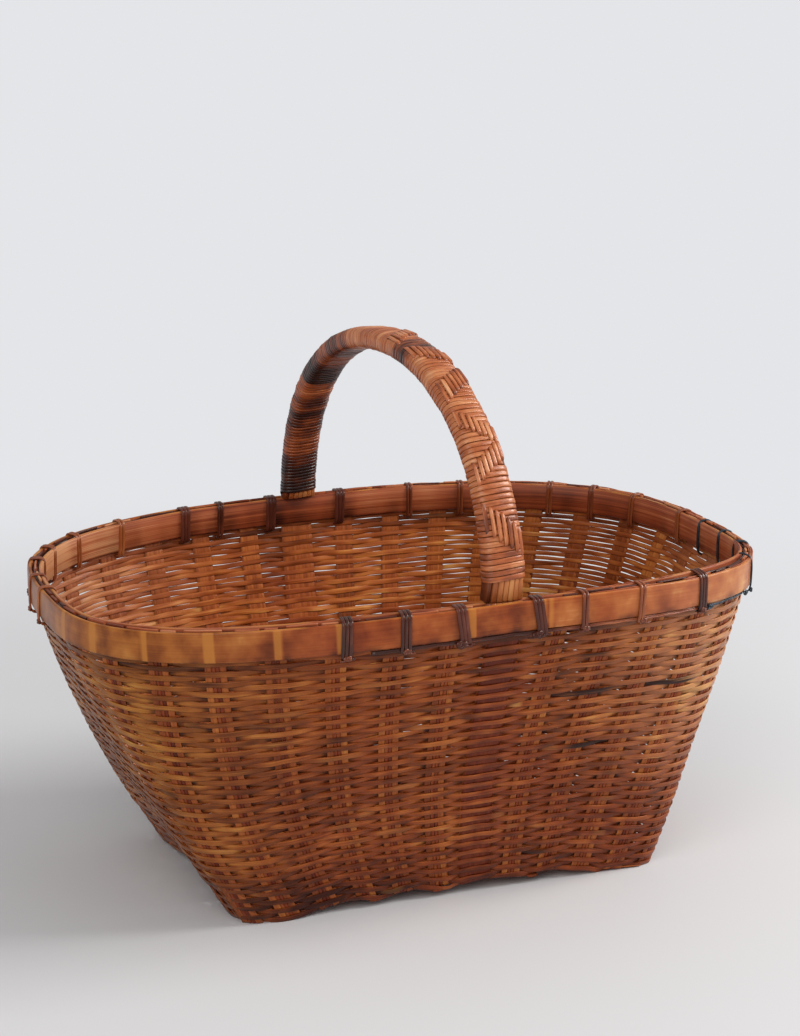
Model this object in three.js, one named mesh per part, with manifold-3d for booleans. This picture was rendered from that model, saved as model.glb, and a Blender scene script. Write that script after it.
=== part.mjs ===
// Woven bamboo basket with a fixed, cane-wrapped carrying handle. Millimetres, +Z up.
// Origin: middle of the footprint, on the floor. +X along the long side, +Y to the back.
import * as THREE from 'three';
import { mergeVertices } from 'three/addons/utils/BufferGeometryUtils.js';
import Module from 'manifold-3d';

// Rim: outline of the outer band's top edge
const rimHalfLength = 230;
const rimHalfWidth = 154.5;
const rimHeight = 209.5;
const rimEndRise = 8; // the right end stands higher than the left by twice this
const rimEndSag = 7.4; // and both ends sink below the middle
const rimCornerPower = { rightBack: 2.94, leftBack: 3.3, leftFront: 2.62, rightFront: 3.2 };
const rimTaper = 0.018; // the right end is this share narrower

// Base: outline that the four feet stand on
const baseHalfLength = 143.8;
const baseHalfWidth = 90.5;
const baseCornerPower = 20;
const baseShiftX = 6.7;
const baseShiftY = -2.5;
const baseTurn = THREE.MathUtils.degToRad(2.7);
const footLength = 20;
const archRiseLength = 60;
const archHeight = 7.2; // the bottom edge is raised this much between the feet

// Wall
const wallThickness = 3.2;
const leftEndBulge = 0.2;
const cornerBlendPower = 1.3;
const wallLevels = [0, 0.05, 0.12, 0.24, 0.42, 0.65, 0.965]; // the ribs end at the last one

// Ribs, where the weavers bulge over the stakes
const stakeCount = 36;
const stakePhase = 0.39; // place of the first stake, in stakes from the middle of the right end
const stakeWidth = 12.8;
const legStakeWidth = 22.6; // the stakes that the handle's legs run down in
const ribHeight = 1; // on both faces, above the hollow halfway to the next stake
const footCornerLevel = 0.3; // above this level the feet's corners have faded

// Rim bands
const bandThickness = 2.6;
const bandHeight = 18.5;
const lapTip = 0.6; // thickness left at the tip of a band's scarfed end
const lapFacets = 2;
const fillerHeight = 2.6;
const fillerBelowTop = 0.6;

// Base pieces
const matThickness = 2.4;
const runnerThickness = 2.4;
const runnerWidth = 13;
const runnerPlaces = [-0.382, -0.08, 0.389]; // shares of the half length

// Handle
const archInset = 8.5; // from the rim's outer edge in to the middle of a leg
const archHalfSpan = rimHalfWidth - archInset;
const springBelowRim = 9.5;
const archSpringHeight = rimHeight - springBelowRim;
const archRise = 142;
const archPowerAcross = 2.12;
const archPowerUp = 2.22;
const archLean = 6.7;
const footShift = 16; // the feet stand this far off the middle, in opposite directions
const splintCount = 7;
const splintWidth = 2.95;
const coreDepth = 11.8;
const coreChamfer = 2.4;
const tongueThickness = 2.6;
const tongueDepth = 30; // how far the legs run down below the rim bands
const bareFootFront = 14; // unwrapped stretch of each leg above the rim
const bareFootBack = 4;

// Wrapping cane on the handle
const wrapThickness = 1.2;
const wrapClearance = 0.4;
const wrapZones = 3;
const loopsPerZone = 24;
const wrapLoopGap = 0.9;
const wrapZoneGap = 0.6;

// Ties round the rim
const tieWidth = 2;
const tieThickness = 1;
const tieLoopGap = 0.6;
const tieStandOff = 1.1; // from the band faces to the middle of the tie strip
const tieChamfer = 1;
const tieDrop = 4; // below the bands' lower edge, where a tie goes through the wall
const slotHeight = 3;
const slotMargin = 1.2;
const wireWidth = 1.1;

// Strand and wire that run under the outer band
const strandHeight = 2;
const strandThickness = 1.4;
const wireRunHeight = 1.2;

const gap = 0.3; // between pieces that touch
const handleGapAlongRim = 17; // half the length that a leg takes out of the rim filler
const facetsToCorner = 8;
const facetsFromCorner = 12;
const archSteps = 36;

// Places along the rim, as shares of the way round it from the middle of the right end, back first
const tiePlaces = [
  0.0192, 0.0614, 0.0898, 0.1151, 0.1665, 0.1964, 0.3045, 0.3628, 0.3935,
  0.4173, 0.4388, 0.4687, 0.4917, 0.6835, 0.7111, 0.8001, 0.8315, 0.8684,
];
const wideTiePlace = 0.3245;
const wirePlaces = [0.9175, 0.9489, 0.9727, 0.9957];
const lapPlaceOuter = 0.8875;
const lapPlaceInner = 0.3682;
const strandFrom = 0.6942;
const strandTo = 0.8668;
const wireRunFrom = 0.8730;
const wireRunTo = 0.9067;

// Millimetres from the middle of a leg to the middle of the lashing beside it
const lashingOffsets = { back_right: -32, back_left: 19, front_left: -31, front_right: 19 };

const wallInset = bandThickness + gap;
const innerBandInset = wallInset + wallThickness + gap;
const rimThickness = innerBandInset + bandThickness;
const matBottom = archHeight - 2 * gap;
const runnerBottom = matBottom - gap - runnerThickness;

const basket = new THREE.Group();

function finish(color, roughness, metalness = 0) {
  return new THREE.MeshStandardMaterial({ color, roughness, metalness });
}

const weaveFinish = () => finish(0x8f5429, 0.6);
const bandFinish = () => finish(0xa65c30, 0.42);
const splintFinish = () => finish(0xc08a4e, 0.5);
const wrapFinish = () => finish(0xb4683f, 0.4);
const tieFinish = () => finish(0x6a3a24, 0.45);
const darkTieFinish = () => finish(0x3b2620, 0.45);
const wireFinish = () => finish(0x39434d, 0.35, 0.6);

function add(name, geometry, material) {
  const mesh = new THREE.Mesh(geometry, material);
  mesh.name = name;
  basket.add(mesh);
}

// Closed solid through rings of points, each ring going round the same way, with both ends capped
function loft(rings) {
  const count = rings[0].length;
  const index = [];
  for (let i = 0; i < rings.length - 1; i++) {
    const here = i * count;
    const next = here + count;
    for (let j = 0; j < count; j++) {
      const k = (j + 1) % count;
      index.push(here + j, here + k, next + k, here + j, next + k, next + j);
    }
  }
  const last = (rings.length - 1) * count;
  for (let j = 1; j < count - 1; j++) {
    index.push(0, j + 1, j);
    index.push(last, last + j, last + j + 1);
  }
  return indexed(rings.flat(), index);
}

// Closed solid through loops of points round the basket, the last of which joins the first.
// Each loop starts just past the +X axis; where two differ in count, the turn decides the joins.
function skin(loops) {
  const index = [];
  const starts = [0];
  for (const loop of loops) starts.push(starts[starts.length - 1] + loop.length);
  loops.forEach((loop, number) => {
    const other = (number + 1) % loops.length;
    const counts = [loop.length, loops[other].length];
    const turn = (of, i) => {
      if (i >= of.length) return 2 * Math.PI + turn(of, 0);
      return (Math.atan2(of[i].y, of[i].x) + 2 * Math.PI) % (2 * Math.PI);
    };
    let [i, j] = [0, 0];
    while (i < counts[0] || j < counts[1]) {
      const byCount = counts[0] === counts[1] ? i <= j : turn(loop, i + 1) < turn(loops[other], j + 1);
      const stepHere = j === counts[1] || (i < counts[0] && byCount);
      const here = starts[number] + (i % counts[0]);
      const there = starts[other] + (j % counts[1]);
      if (stepHere) index.push(here, starts[number] + (++i % counts[0]), there);
      else index.push(here, starts[other] + (++j % counts[1]), there);
    }
  });
  return indexed(loops.flat(), index);
}

function indexed(points, index) {
  const geometry = new THREE.BufferGeometry().setFromPoints(points);
  geometry.setIndex(index);
  return facingOut(geometry);
}

function signedVolume(geometry) {
  const place = geometry.getAttribute('position');
  const index = geometry.getIndex();
  const a = new THREE.Vector3();
  const b = new THREE.Vector3();
  const c = new THREE.Vector3();
  let volume = 0;
  for (let i = 0; i < index.count; i += 3) {
    a.fromBufferAttribute(place, index.getX(i));
    b.fromBufferAttribute(place, index.getX(i + 1));
    c.fromBufferAttribute(place, index.getX(i + 2));
    volume += a.dot(b.cross(c));
  }
  return volume;
}

function facingOut(geometry) {
  if (signedVolume(geometry) < 0) {
    const order = Array.from(geometry.getIndex().array);
    for (let i = 0; i < order.length; i += 3) {
      [order[i + 1], order[i + 2]] = [order[i + 2], order[i + 1]];
    }
    geometry.setIndex(order);
  }
  geometry.computeVertexNormals();
  return geometry;
}

// Outline of the basket at a level: 0 at the feet, 1 at the lower edge of the rim bands and above
function outline(angle, level, inset) {
  const right = Math.cos(angle) >= 0;
  const back = Math.sin(angle) >= 0;
  const corner = (right ? 'right' : 'left') + (back ? 'Back' : 'Front');
  const blend = level ** cornerBlendPower;
  const power = 1 / ((1 - blend) / baseCornerPower + blend / rimCornerPower[corner]);
  const bulge = right ? 0 : leftEndBulge;
  const lengthShare = level + 2 * bulge * level * (1 - level);
  const topLength = rimHalfLength - wallInset;
  const topWidth = rimHalfWidth - wallInset;
  const halfLength = baseHalfLength + (topLength - baseHalfLength) * lengthShare + wallInset - inset;
  const halfWidth = baseHalfWidth + (topWidth - baseHalfWidth) * level + wallInset - inset;
  const across = Math.abs(Math.cos(angle)) / halfLength;
  const along = Math.abs(Math.sin(angle)) / halfWidth;
  const radius = (across ** power + along ** power) ** (-1 / power);
  const x = radius * Math.cos(angle);
  const y = radius * Math.sin(angle) * (1 - (rimTaper * level * x) / rimHalfLength);
  const turn = baseTurn * (1 - level);
  return new THREE.Vector2(
    x * Math.cos(turn) - y * Math.sin(turn) + baseShiftX * (1 - level),
    x * Math.sin(turn) + y * Math.cos(turn) + baseShiftY * (1 - level),
  );
}

function rimTop(point) {
  const share = point.x / rimHalfLength;
  return rimHeight + rimEndRise * share - rimEndSag * share * share;
}

// Height of the wall's bottom edge: flat on the floor at the feet, raised between them
function bottomEdge(angle) {
  const steep = Math.abs(Math.tan(angle)) * baseHalfLength > baseHalfWidth;
  const reach = steep ? baseHalfLength : baseHalfWidth;
  const place = steep
    ? baseHalfWidth / Math.abs(Math.tan(angle))
    : baseHalfLength * Math.abs(Math.tan(angle));
  const share = THREE.MathUtils.clamp((reach - place - footLength) / archRiseLength, 0, 1);
  return archHeight * THREE.MathUtils.smoothstep(share, 0, 1);
}

// Angles of the facets' corners. The feet's corners are among them, and each stretch is even.
function facetAngles() {
  const corner = Math.atan2(baseHalfWidth, baseHalfLength);
  const starts = [0, corner, Math.PI - corner, Math.PI + corner, 2 * Math.PI - corner];
  const ends = [...starts.slice(1), 2 * Math.PI];
  const side = 2 * facetsFromCorner;
  const counts = [facetsToCorner, side, 2 * facetsToCorner, side, facetsToCorner];
  return starts.flatMap((start, i) => evenAngles(start, ends[i], counts[i]));
}

function evenAngles(start, end, count) {
  const { angleAt } = ruler(start, end, 1);
  return Array.from({ length: count }, (_, i) => angleAt(i / count));
}

// Measures the outline at a level between two angles
function ruler(start, end, level) {
  const steps = 3000;
  const lengths = [0];
  let before = outline(start, level, 0);
  for (let i = 1; i <= steps; i++) {
    const here = outline(start + ((end - start) * i) / steps, level, 0);
    lengths.push(lengths[i - 1] + here.distanceTo(before));
    before = here;
  }
  const angleAt = (share) => {
    const wanted = (share - Math.floor(share)) * lengths[steps];
    const k = Math.max(lengths.findIndex((length) => length > wanted) - 1, 0);
    const part = (wanted - lengths[k]) / (lengths[k + 1] - lengths[k]);
    return start + ((end - start) * (k + part)) / steps;
  };
  const placeOf = (angle) => lengths[Math.round(((angle - start) / (end - start)) * steps)];
  return { length: lengths[steps], angleAt, placeOf };
}

const angles = facetAngles();
const facetCount = angles.length;
const rimLengths = [0];
for (let i = 0; i < facetCount; i++) {
  const here = outline(angles[i], 1, 0);
  const next = outline(angles[(i + 1) % facetCount], 1, 0);
  rimLengths.push(rimLengths[i] + here.distanceTo(next));
}
const rimLength = rimLengths[facetCount];

// Fractional facet number at a place along the rim
function facetAt(place) {
  const wanted = (((place % 1) + 1) % 1) * rimLength;
  const i = rimLengths.findIndex((length, k) => k > 0 && length >= wanted) - 1;
  return i + (wanted - rimLengths[i]) / (rimLengths[i + 1] - rimLengths[i]);
}

// Point of the faceted rim: inset from the outer band's face, above its top edge
function rimPoint(facet, inset, above) {
  const i = Math.floor(facet + 1e-9);
  const [a, b] = [i, i + 1].map((k) => {
    const angle = angles[((k % facetCount) + facetCount) % facetCount];
    const flat = outline(angle, 1, inset);
    return new THREE.Vector3(flat.x, flat.y, rimTop(outline(angle, 1, 0)) + above);
  });
  return a.lerp(b, facet - i);
}

function wallPoint(angle, level, inset) {
  const flat = outline(angle, level, inset);
  const low = rimTop(outline(angle, 1, 0)) - bandHeight;
  return new THREE.Vector3(flat.x, flat.y, bottomEdge(angle) * (1 - level) + low * level);
}

const wasm = await Module();
wasm.setup();

function solid(geometry) {
  const bare = geometry.clone();
  bare.deleteAttribute('normal');
  bare.deleteAttribute('uv');
  const merged = mergeVertices(bare);
  return new wasm.Manifold(new wasm.Mesh({
    numProp: 3,
    vertProperties: new Float32Array(merged.getAttribute('position').array),
    triVerts: new Uint32Array(merged.getIndex().array),
  }));
}

function geometryOf(manifold) {
  const mesh = manifold.getMesh();
  const geometry = new THREE.BufferGeometry();
  geometry.setAttribute('position', new THREE.BufferAttribute(mesh.vertProperties, 3));
  geometry.setIndex(Array.from(mesh.triVerts));
  geometry.computeVertexNormals();
  return geometry;
}

// Handle: centre line, measured from foot to foot
function archPoint(turn) {
  const across = -Math.sign(Math.cos(turn)) * Math.abs(Math.cos(turn)) ** (2 / archPowerAcross);
  const up = Math.abs(Math.sin(turn)) ** (2 / archPowerUp);
  return archPlane(across * archHalfSpan + archLean * up, archSpringHeight + archRise * up);
}

function archPlane(y, z) {
  return new THREE.Vector3((-footShift * y) / archHalfSpan, y, z);
}

const acrossHandle = new THREE.Vector3(archHalfSpan, footShift, 0).normalize();
const firstTurn = archTurn(rimHeight + bareFootFront);
const lastTurn = Math.PI - archTurn(rimHeight + bareFootBack);

// Turn at which the front half of the centre line reaches a height
function archTurn(height) {
  return Math.asin(((height - archSpringHeight) / archRise) ** (archPowerUp / 2));
}

function archStation(turn) {
  const step = 1e-3;
  const along = archPoint(turn + step).sub(archPoint(turn - step)).normalize();
  const out = new THREE.Vector3().crossVectors(acrossHandle, along).normalize();
  return { centre: archPoint(turn), across: acrossHandle, out, along, depth: coreDepth };
}

// A leg leaves the rim between the bands and runs down in the wall
function legStations(back) {
  const side = back ? 1 : -1;
  const x = -side * footShift;
  const angle = Math.atan2(side * rimHalfWidth, x);
  const top = rimTop({ x });
  const collar = outline(angle, 1, wallInset + wallThickness / 2);
  const low = top - bandHeight;
  const below = outline(angle, (low - tongueDepth) / low, wallInset + wallThickness / 2);
  const points = [
    archPlane(below.y, low - tongueDepth),
    archPlane(collar.y, low),
    archPlane(collar.y, top + gap),
  ];
  const across = new THREE.Vector3(1, 0, 0);
  const out = new THREE.Vector3(0, side, 0);
  return points.map((centre) => ({ centre, across, out, depth: tongueThickness }));
}

function handleStations() {
  const arch = [];
  for (let i = 0; i <= archSteps; i++) {
    arch.push(archStation(firstTurn + ((lastTurn - firstTurn) * i) / archSteps));
  }
  return [...legStations(false), ...arch, ...legStations(true).reverse()];
}

const splintPitch = splintWidth + gap;
const coreWidth = splintCount * splintPitch - gap;

function splintSection(station, number) {
  const middle = (number - (splintCount - 1) / 2) * splintPitch;
  const left = middle - splintWidth / 2;
  const right = middle + splintWidth / 2;
  const half = station.depth / 2;
  const cut = Math.min(coreChamfer, half / 2);
  const corners = [[left, -half], [right, -half], [right, half], [left, half]];
  if (number === 0) corners.splice(3, 1, [left + cut, half], [left, half - cut]);
  if (number === 0) corners.splice(0, 1, [left, cut - half], [left + cut, -half]);
  if (number === splintCount - 1) corners.splice(1, 2, [right - cut, -half], [right, cut - half],
    [right, half - cut], [right - cut, half]);
  return corners.map(([across, out]) => station.centre.clone()
    .addScaledVector(station.across, across).addScaledVector(station.out, out));
}

function makeSplints() {
  const stations = handleStations();
  for (let n = 0; n < splintCount; n++) {
    add(`handle_splint_${n + 1}`, loft(stations.map((s) => splintSection(s, n))), splintFinish());
  }
}

// Space that a leg takes out of the wall
function legPocket(back) {
  const half = coreWidth / 2 + gap;
  const stations = legStations(back);
  stations[0].centre.z -= gap;
  stations[stations.length - 1].centre.z += bandHeight;
  return loft(stations.map((s) => [[-half, -1], [half, -1], [half, 1], [-half, 1]].map(
    ([across, out]) => s.centre.clone().addScaledVector(s.across, across)
      .addScaledVector(s.out, out * 2 * wallThickness),
  )));
}

// Strip wound round something. Each path point has its place, the way its flat side faces and
// the way its width runs.
function woundStrip(path, width, thickness) {
  return loft(path.map(({ place, out, wide }) => [[-1, -1], [1, -1], [1, 1], [-1, 1]].map(
    ([w, t]) => place.clone().addScaledVector(wide, (w * width) / 2)
      .addScaledVector(out, (t * thickness) / 2),
  )));
}

// Eight corners of a loop round a rectangle with cut corners, as places and facings
function loopCorners(left, right, low, high, cut) {
  return [
    [right, low + cut, 1, -0.4], [right, high - cut, 1, 0.4],
    [right - cut, high, 0.4, 1], [left + cut, high, -0.4, 1],
    [left, high - cut, -1, 0.4], [left, low + cut, -1, -0.4],
    [left + cut, low, -0.4, -1], [right - cut, low, 0.4, -1],
  ];
}

// Least gap between neighbouring turns of a wound strip, measured between its edges
function leastGap(path, turnPoints, width) {
  let least = Infinity;
  for (let i = 0; i + turnPoints < path.length; i++) {
    const here = path[i].place.clone().addScaledVector(path[i].wide, width / 2);
    const next = path[i + turnPoints];
    const there = next.place.clone().addScaledVector(next.wide, -width / 2);
    least = Math.min(least, here.distanceTo(there));
  }
  return least;
}

function makeWrap() {
  const fine = 600;
  const turns = [];
  const lengths = [0];
  for (let i = 0; i <= fine; i++) {
    turns.push(firstTurn + ((lastTurn - firstTurn) * i) / fine);
    if (i > 0) lengths.push(lengths[i - 1] + archPoint(turns[i]).distanceTo(archPoint(turns[i - 1])));
  }
  const turnAt = (length) => {
    const i = Math.min(Math.max(lengths.findIndex((l) => l > length) - 1, 0), fine - 1);
    return turns[i] + ((length - lengths[i]) / (lengths[i + 1] - lengths[i])) * (turns[1] - turns[0]);
  };
  const zoneLength = lengths[fine] / wrapZones;
  const pitch = (zoneLength - wrapZoneGap) / (loopsPerZone + 1);
  const width = pitch - wrapLoopGap;
  const off = wrapClearance + wrapThickness / 2;
  const halfWidth = coreWidth / 2 + off;
  const halfDepth = coreDepth / 2 + off;
  const cut = coreChamfer + (2 - Math.SQRT2) * off;
  const corners = loopCorners(-halfWidth, halfWidth, -halfDepth, halfDepth, cut);
  for (let zone = 0; zone < wrapZones; zone++) {
    const path = [];
    for (let i = 0; i <= loopsPerZone * corners.length; i++) {
      const [across, out, faceAcross, faceOut] = corners[i % corners.length];
      const along = zone * zoneLength + wrapZoneGap / 2 + pitch / 2 + (pitch * i) / corners.length;
      const station = archStation(turnAt(along));
      path.push({
        place: station.centre.clone().addScaledVector(acrossHandle, across)
          .addScaledVector(station.out, out),
        out: acrossHandle.clone().multiplyScalar(faceAcross).addScaledVector(station.out, faceOut),
        wide: station.along,
      });
    }
    console.log(`handle_wrap_${zone + 1}: least gap ${leastGap(path, corners.length, width).toFixed(2)} mm`);
    add(`handle_wrap_${zone + 1}`, woundStrip(path, width, wrapThickness), wrapFinish());
  }
}

// A tie's place on the rim and the rim's directions there
function tieFrame(place) {
  const facet = facetAt(place);
  const spread = 0.3;
  const along = rimPoint(facet + spread, 0, 0).sub(rimPoint(facet - spread, 0, 0)).normalize();
  const out = new THREE.Vector3(along.y, -along.x, 0).normalize();
  const middle = rimPoint(facet, 0, 0);
  return { middle, along, out, depth: rimDepth(facet, middle, along, out) };
}

// Greatest depth of the rim's faceted inner face under a tie
function rimDepth(facet, middle, along, out) {
  const reach = 1.5 * (tieWidth + tieLoopGap);
  let depth = 0;
  for (let shift = -1.5; shift <= 1.5; shift += 0.05) {
    const inside = rimPoint(facet + shift, rimThickness, 0).sub(middle);
    if (Math.abs(inside.dot(along)) < reach) depth = Math.max(depth, -inside.dot(out));
  }
  return depth;
}

const ties = [];
tiePlaces.forEach((place, i) => {
  ties.push({ name: `rim_tie_${i + 1}`, place, loops: 2, width: tieWidth });
});
ties.push({ name: 'rim_tie_wide', place: wideTiePlace, loops: 3, width: tieWidth, dark: true });
wirePlaces.forEach((place, i) => {
  ties.push({ name: `repair_wire_${i + 1}`, place, loops: 2, width: wireWidth, wire: true });
});

// Place along the rim of a leg's middle
function legPlace(back) {
  const side = back ? 1 : -1;
  const turn = (Math.atan2(side * rimHalfWidth, -side * footShift) + 2 * Math.PI) % (2 * Math.PI);
  const i = angles.findIndex((angle) => angle > turn) - 1;
  const share = (turn - angles[i]) / (angles[i + 1] - angles[i]);
  return (rimLengths[i] + share * (rimLengths[i + 1] - rimLengths[i])) / rimLength;
}

for (const [side, offset] of Object.entries(lashingOffsets)) {
  const place = legPlace(side.startsWith('back')) + offset / rimLength;
  ties.push({ name: `handle_lashing_${side}`, place, loops: 3, width: tieWidth, dark: true });
}

function tieFinishOf(tie) {
  if (tie.wire) return wireFinish();
  return tie.dark ? darkTieFinish() : tieFinish();
}

function makeTie(tie) {
  const { middle, along, out, depth } = tieFrame(tie.place);
  const low = -bandHeight - tieDrop;
  const corners = loopCorners(-depth - tieStandOff, tieStandOff, low, tieStandOff, tieChamfer);
  const pitch = tie.width + tieLoopGap;
  const thickness = tie.wire ? wireWidth : tieThickness;
  const path = [];
  const last = tie.loops * corners.length;
  for (let i = 0; i <= last; i++) {
    const [across, up, faceAcross, faceUp] = corners[i % corners.length];
    path.push({
      place: middle.clone().addScaledVector(out, across).setZ(middle.z + up)
        .addScaledVector(along, (i / last - 0.5) * tie.loops * pitch),
      out: out.clone().multiplyScalar(faceAcross).setZ(faceUp),
      wide: along,
    });
  }
  console.log(`${tie.name}: least gap ${leastGap(path, corners.length, tie.width).toFixed(2)} mm`);
  add(tie.name, woundStrip(path, tie.width, thickness), tieFinishOf(tie));
}

function tieSlot(tie) {
  const { middle, along, out } = tieFrame(tie.place);
  const length = (tie.loops + 1) * (tie.width + tieLoopGap) + 2 * slotMargin;
  const reach = 2 * rimThickness;
  const box = new THREE.BoxGeometry(length, reach, slotHeight);
  const level = new THREE.Vector3(along.x, along.y, 0).normalize();
  box.applyMatrix4(new THREE.Matrix4().makeBasis(level, out.clone().negate(), new THREE.Vector3(0, 0, 1)));
  const centre = middle.clone().addScaledVector(out, -reach / 2 + tieStandOff);
  box.translate(centre.x, centre.y, middle.z - bandHeight - tieDrop);
  return facingOut(box);
}

const footRound = ruler(0, 2 * Math.PI, 0);

// Stations round the ribbed wall: both edges of each stake and the hollow after it. A foot's
// corner is the hollow that it falls in, or a station of its own on a stake.
function wallStations() {
  const legStakes = [false, true].map((back) => Math.round(legPlace(back) * stakeCount - stakePhase));
  const corner = Math.atan2(baseHalfWidth, baseHalfLength);
  const corners = [corner, Math.PI - corner, Math.PI + corner, 2 * Math.PI - corner];
  const cornerNear = (share, reach) => corners.find(
    (angle) => Math.abs(footRound.placeOf(angle) - share * footRound.length) < reach,
  );
  const list = [];
  for (let k = 0; k < stakeCount; k++) {
    const share = (k + stakePhase) / stakeCount;
    const half = (legStakes.includes(k) ? legStakeWidth : stakeWidth) / 2;
    const onStake = cornerNear(share, half);
    list.push({ share, shift: -half, hollow: 0 });
    if (onStake) list.push({ share, shift: 0, hollow: 0, corner: onStake });
    list.push({ share, shift: half, hollow: 0 });
    const between = share + 0.5 / stakeCount;
    const inHollow = cornerNear(between, (0.5 * footRound.length) / stakeCount - half);
    list.push({ share: between, shift: 0, hollow: ribHeight, corner: inHollow });
  }
  return list;
}

// Angle of a station at a level: the stakes are evenly spread at every level, and the feet keep
// their corners
function stationAngle(station, level, round) {
  const angle = round.angleAt(station.share + station.shift / round.length);
  if (!station.corner || level > footCornerLevel) return angle;
  return station.corner + (angle - station.corner) * (level / footCornerLevel);
}

const stations = wallStations();
const footAngles = stations.map((station) => stationAngle(station, 0, footRound));

// One face of the wall, as loops from the feet to the top. Between the rim bands it is plain and
// has their facets.
function wallFace(inset, way) {
  const loops = wallLevels.map((level) => {
    const round = ruler(0, 2 * Math.PI, level);
    return stations.map((station) => wallPoint(
      stationAngle(station, level, round), level, inset + way * station.hollow,
    ));
  });
  const collar = angles.map((angle) => wallPoint(angle, 1, inset));
  const top = collar.map((point, i) => {
    const rim = rimTop(outline(angles[i], 1, 0));
    return point.clone().setZ(rim - fillerBelowTop - fillerHeight - gap);
  });
  return [...loops, collar, top];
}

function makeWall() {
  const outer = wallFace(wallInset, 1);
  const inner = wallFace(wallInset + wallThickness, -1);
  let wall = solid(skin([...outer, ...inner.reverse()]));
  for (const tie of ties) wall = wall.subtract(solid(tieSlot(tie)));
  for (const back of [false, true]) wall = wall.subtract(solid(legPocket(back)));
  add('woven_wall', geometryOf(wall), weaveFinish());
}

function makeBase() {
  const edge = footAngles.map((angle) => {
    const low = rimTop(outline(angle, 1, 0)) - bandHeight;
    const level = Math.max((matBottom - bottomEdge(angle)) / (low - bottomEdge(angle)), 0);
    return outline(angle, level, wallInset + wallThickness + gap);
  });
  const mat = new THREE.ExtrudeGeometry(new THREE.Shape(edge), { depth: matThickness, bevelEnabled: false });
  add('base_mat', mat.translate(0, 0, matBottom), weaveFinish());
  runnerPlaces.forEach((share, i) => {
    const place = share * baseHalfLength;
    const frontEdge = outline(Math.atan2(-baseHalfWidth, place), 0, wallInset);
    const backEdge = outline(Math.atan2(baseHalfWidth, place), 0, wallInset);
    const length = backEdge.distanceTo(frontEdge);
    const strip = new THREE.BoxGeometry(runnerWidth, length, runnerThickness);
    strip.rotateZ(Math.atan2(frontEdge.x - backEdge.x, backEdge.y - frontEdge.y));
    const middle = frontEdge.clone().lerp(backEdge, 0.5);
    strip.translate(middle.x, middle.y, runnerBottom + runnerThickness / 2);
    add(`base_runner_${i + 1}`, strip, bandFinish());
  });
}

// Band bent round the rim, its two ends scarfed over each other
function makeBand(name, inset, lapPlace) {
  const start = Math.round(facetAt(lapPlace));
  const slip = 0.05;
  const seam = (share) => (bandThickness - lapTip) * (1 - share) + lapTip * share;
  const stations = [];
  for (let k = 0; k <= lapFacets; k++) {
    stations.push([start + k, seam(k / lapFacets) + gap / 2, bandThickness]);
  }
  stations.push([start + lapFacets + slip, 0, bandThickness]);
  for (let k = lapFacets + 1; k < facetCount; k++) stations.push([start + k, 0, bandThickness]);
  stations.push([start + facetCount - slip, 0, bandThickness]);
  for (let k = 0; k <= lapFacets; k++) {
    stations.push([start + facetCount + k, 0, seam(k / lapFacets) - gap / 2]);
  }
  const rings = stations.map(([facet, outer, inner]) => [
    rimPoint(facet, inset + outer, 0), rimPoint(facet, inset + inner, 0),
    rimPoint(facet, inset + inner, -bandHeight), rimPoint(facet, inset + outer, -bandHeight),
  ]);
  add(name, loft(rings), bandFinish());
}

// Strip that follows part of the rim, from one place to another
function rimStrip(from, to, inset, thickness, top, height) {
  const first = facetAt(from);
  let last = facetAt(to);
  if (last < first) last += facetCount;
  const facets = [first];
  for (let i = Math.ceil(first + 0.02); i < last - 0.02; i++) facets.push(i);
  facets.push(last);
  return loft(facets.map((facet) => [
    rimPoint(facet, inset, top), rimPoint(facet, inset + thickness, top),
    rimPoint(facet, inset + thickness, top - height), rimPoint(facet, inset, top - height),
  ]));
}

function makeRim() {
  makeBand('outer_rim_band', 0, lapPlaceOuter);
  makeBand('inner_rim_band', innerBandInset, lapPlaceInner);
  const backLeg = legPlace(true);
  const frontLeg = legPlace(false);
  const inset = wallInset + gap / 2;
  const thickness = wallThickness - gap;
  const room = handleGapAlongRim / rimLength;
  const fill = (from, to) => rimStrip(
    from + room, to - room, inset, thickness, -fillerBelowTop, fillerHeight,
  );
  add('rim_filler_left', fill(backLeg, frontLeg), darkTieFinish());
  add('rim_filler_right', fill(frontLeg, backLeg), darkTieFinish());
  add('under_rim_strand', rimStrip(strandFrom, strandTo, bandThickness - strandThickness - gap / 2,
    strandThickness, -bandHeight - gap, strandHeight), tieFinish());
  add('under_rim_wire', rimStrip(wireRunFrom, wireRunTo, bandThickness - strandThickness - gap / 2,
    wireRunHeight, -bandHeight - gap, wireRunHeight), wireFinish());
}

makeWall();
makeBase();
makeRim();
makeSplints();
makeWrap();
ties.forEach(makeTie);

export default basket;
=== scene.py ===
import math

import bpy
import numpy as np
from mathutils import Matrix, Vector


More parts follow.
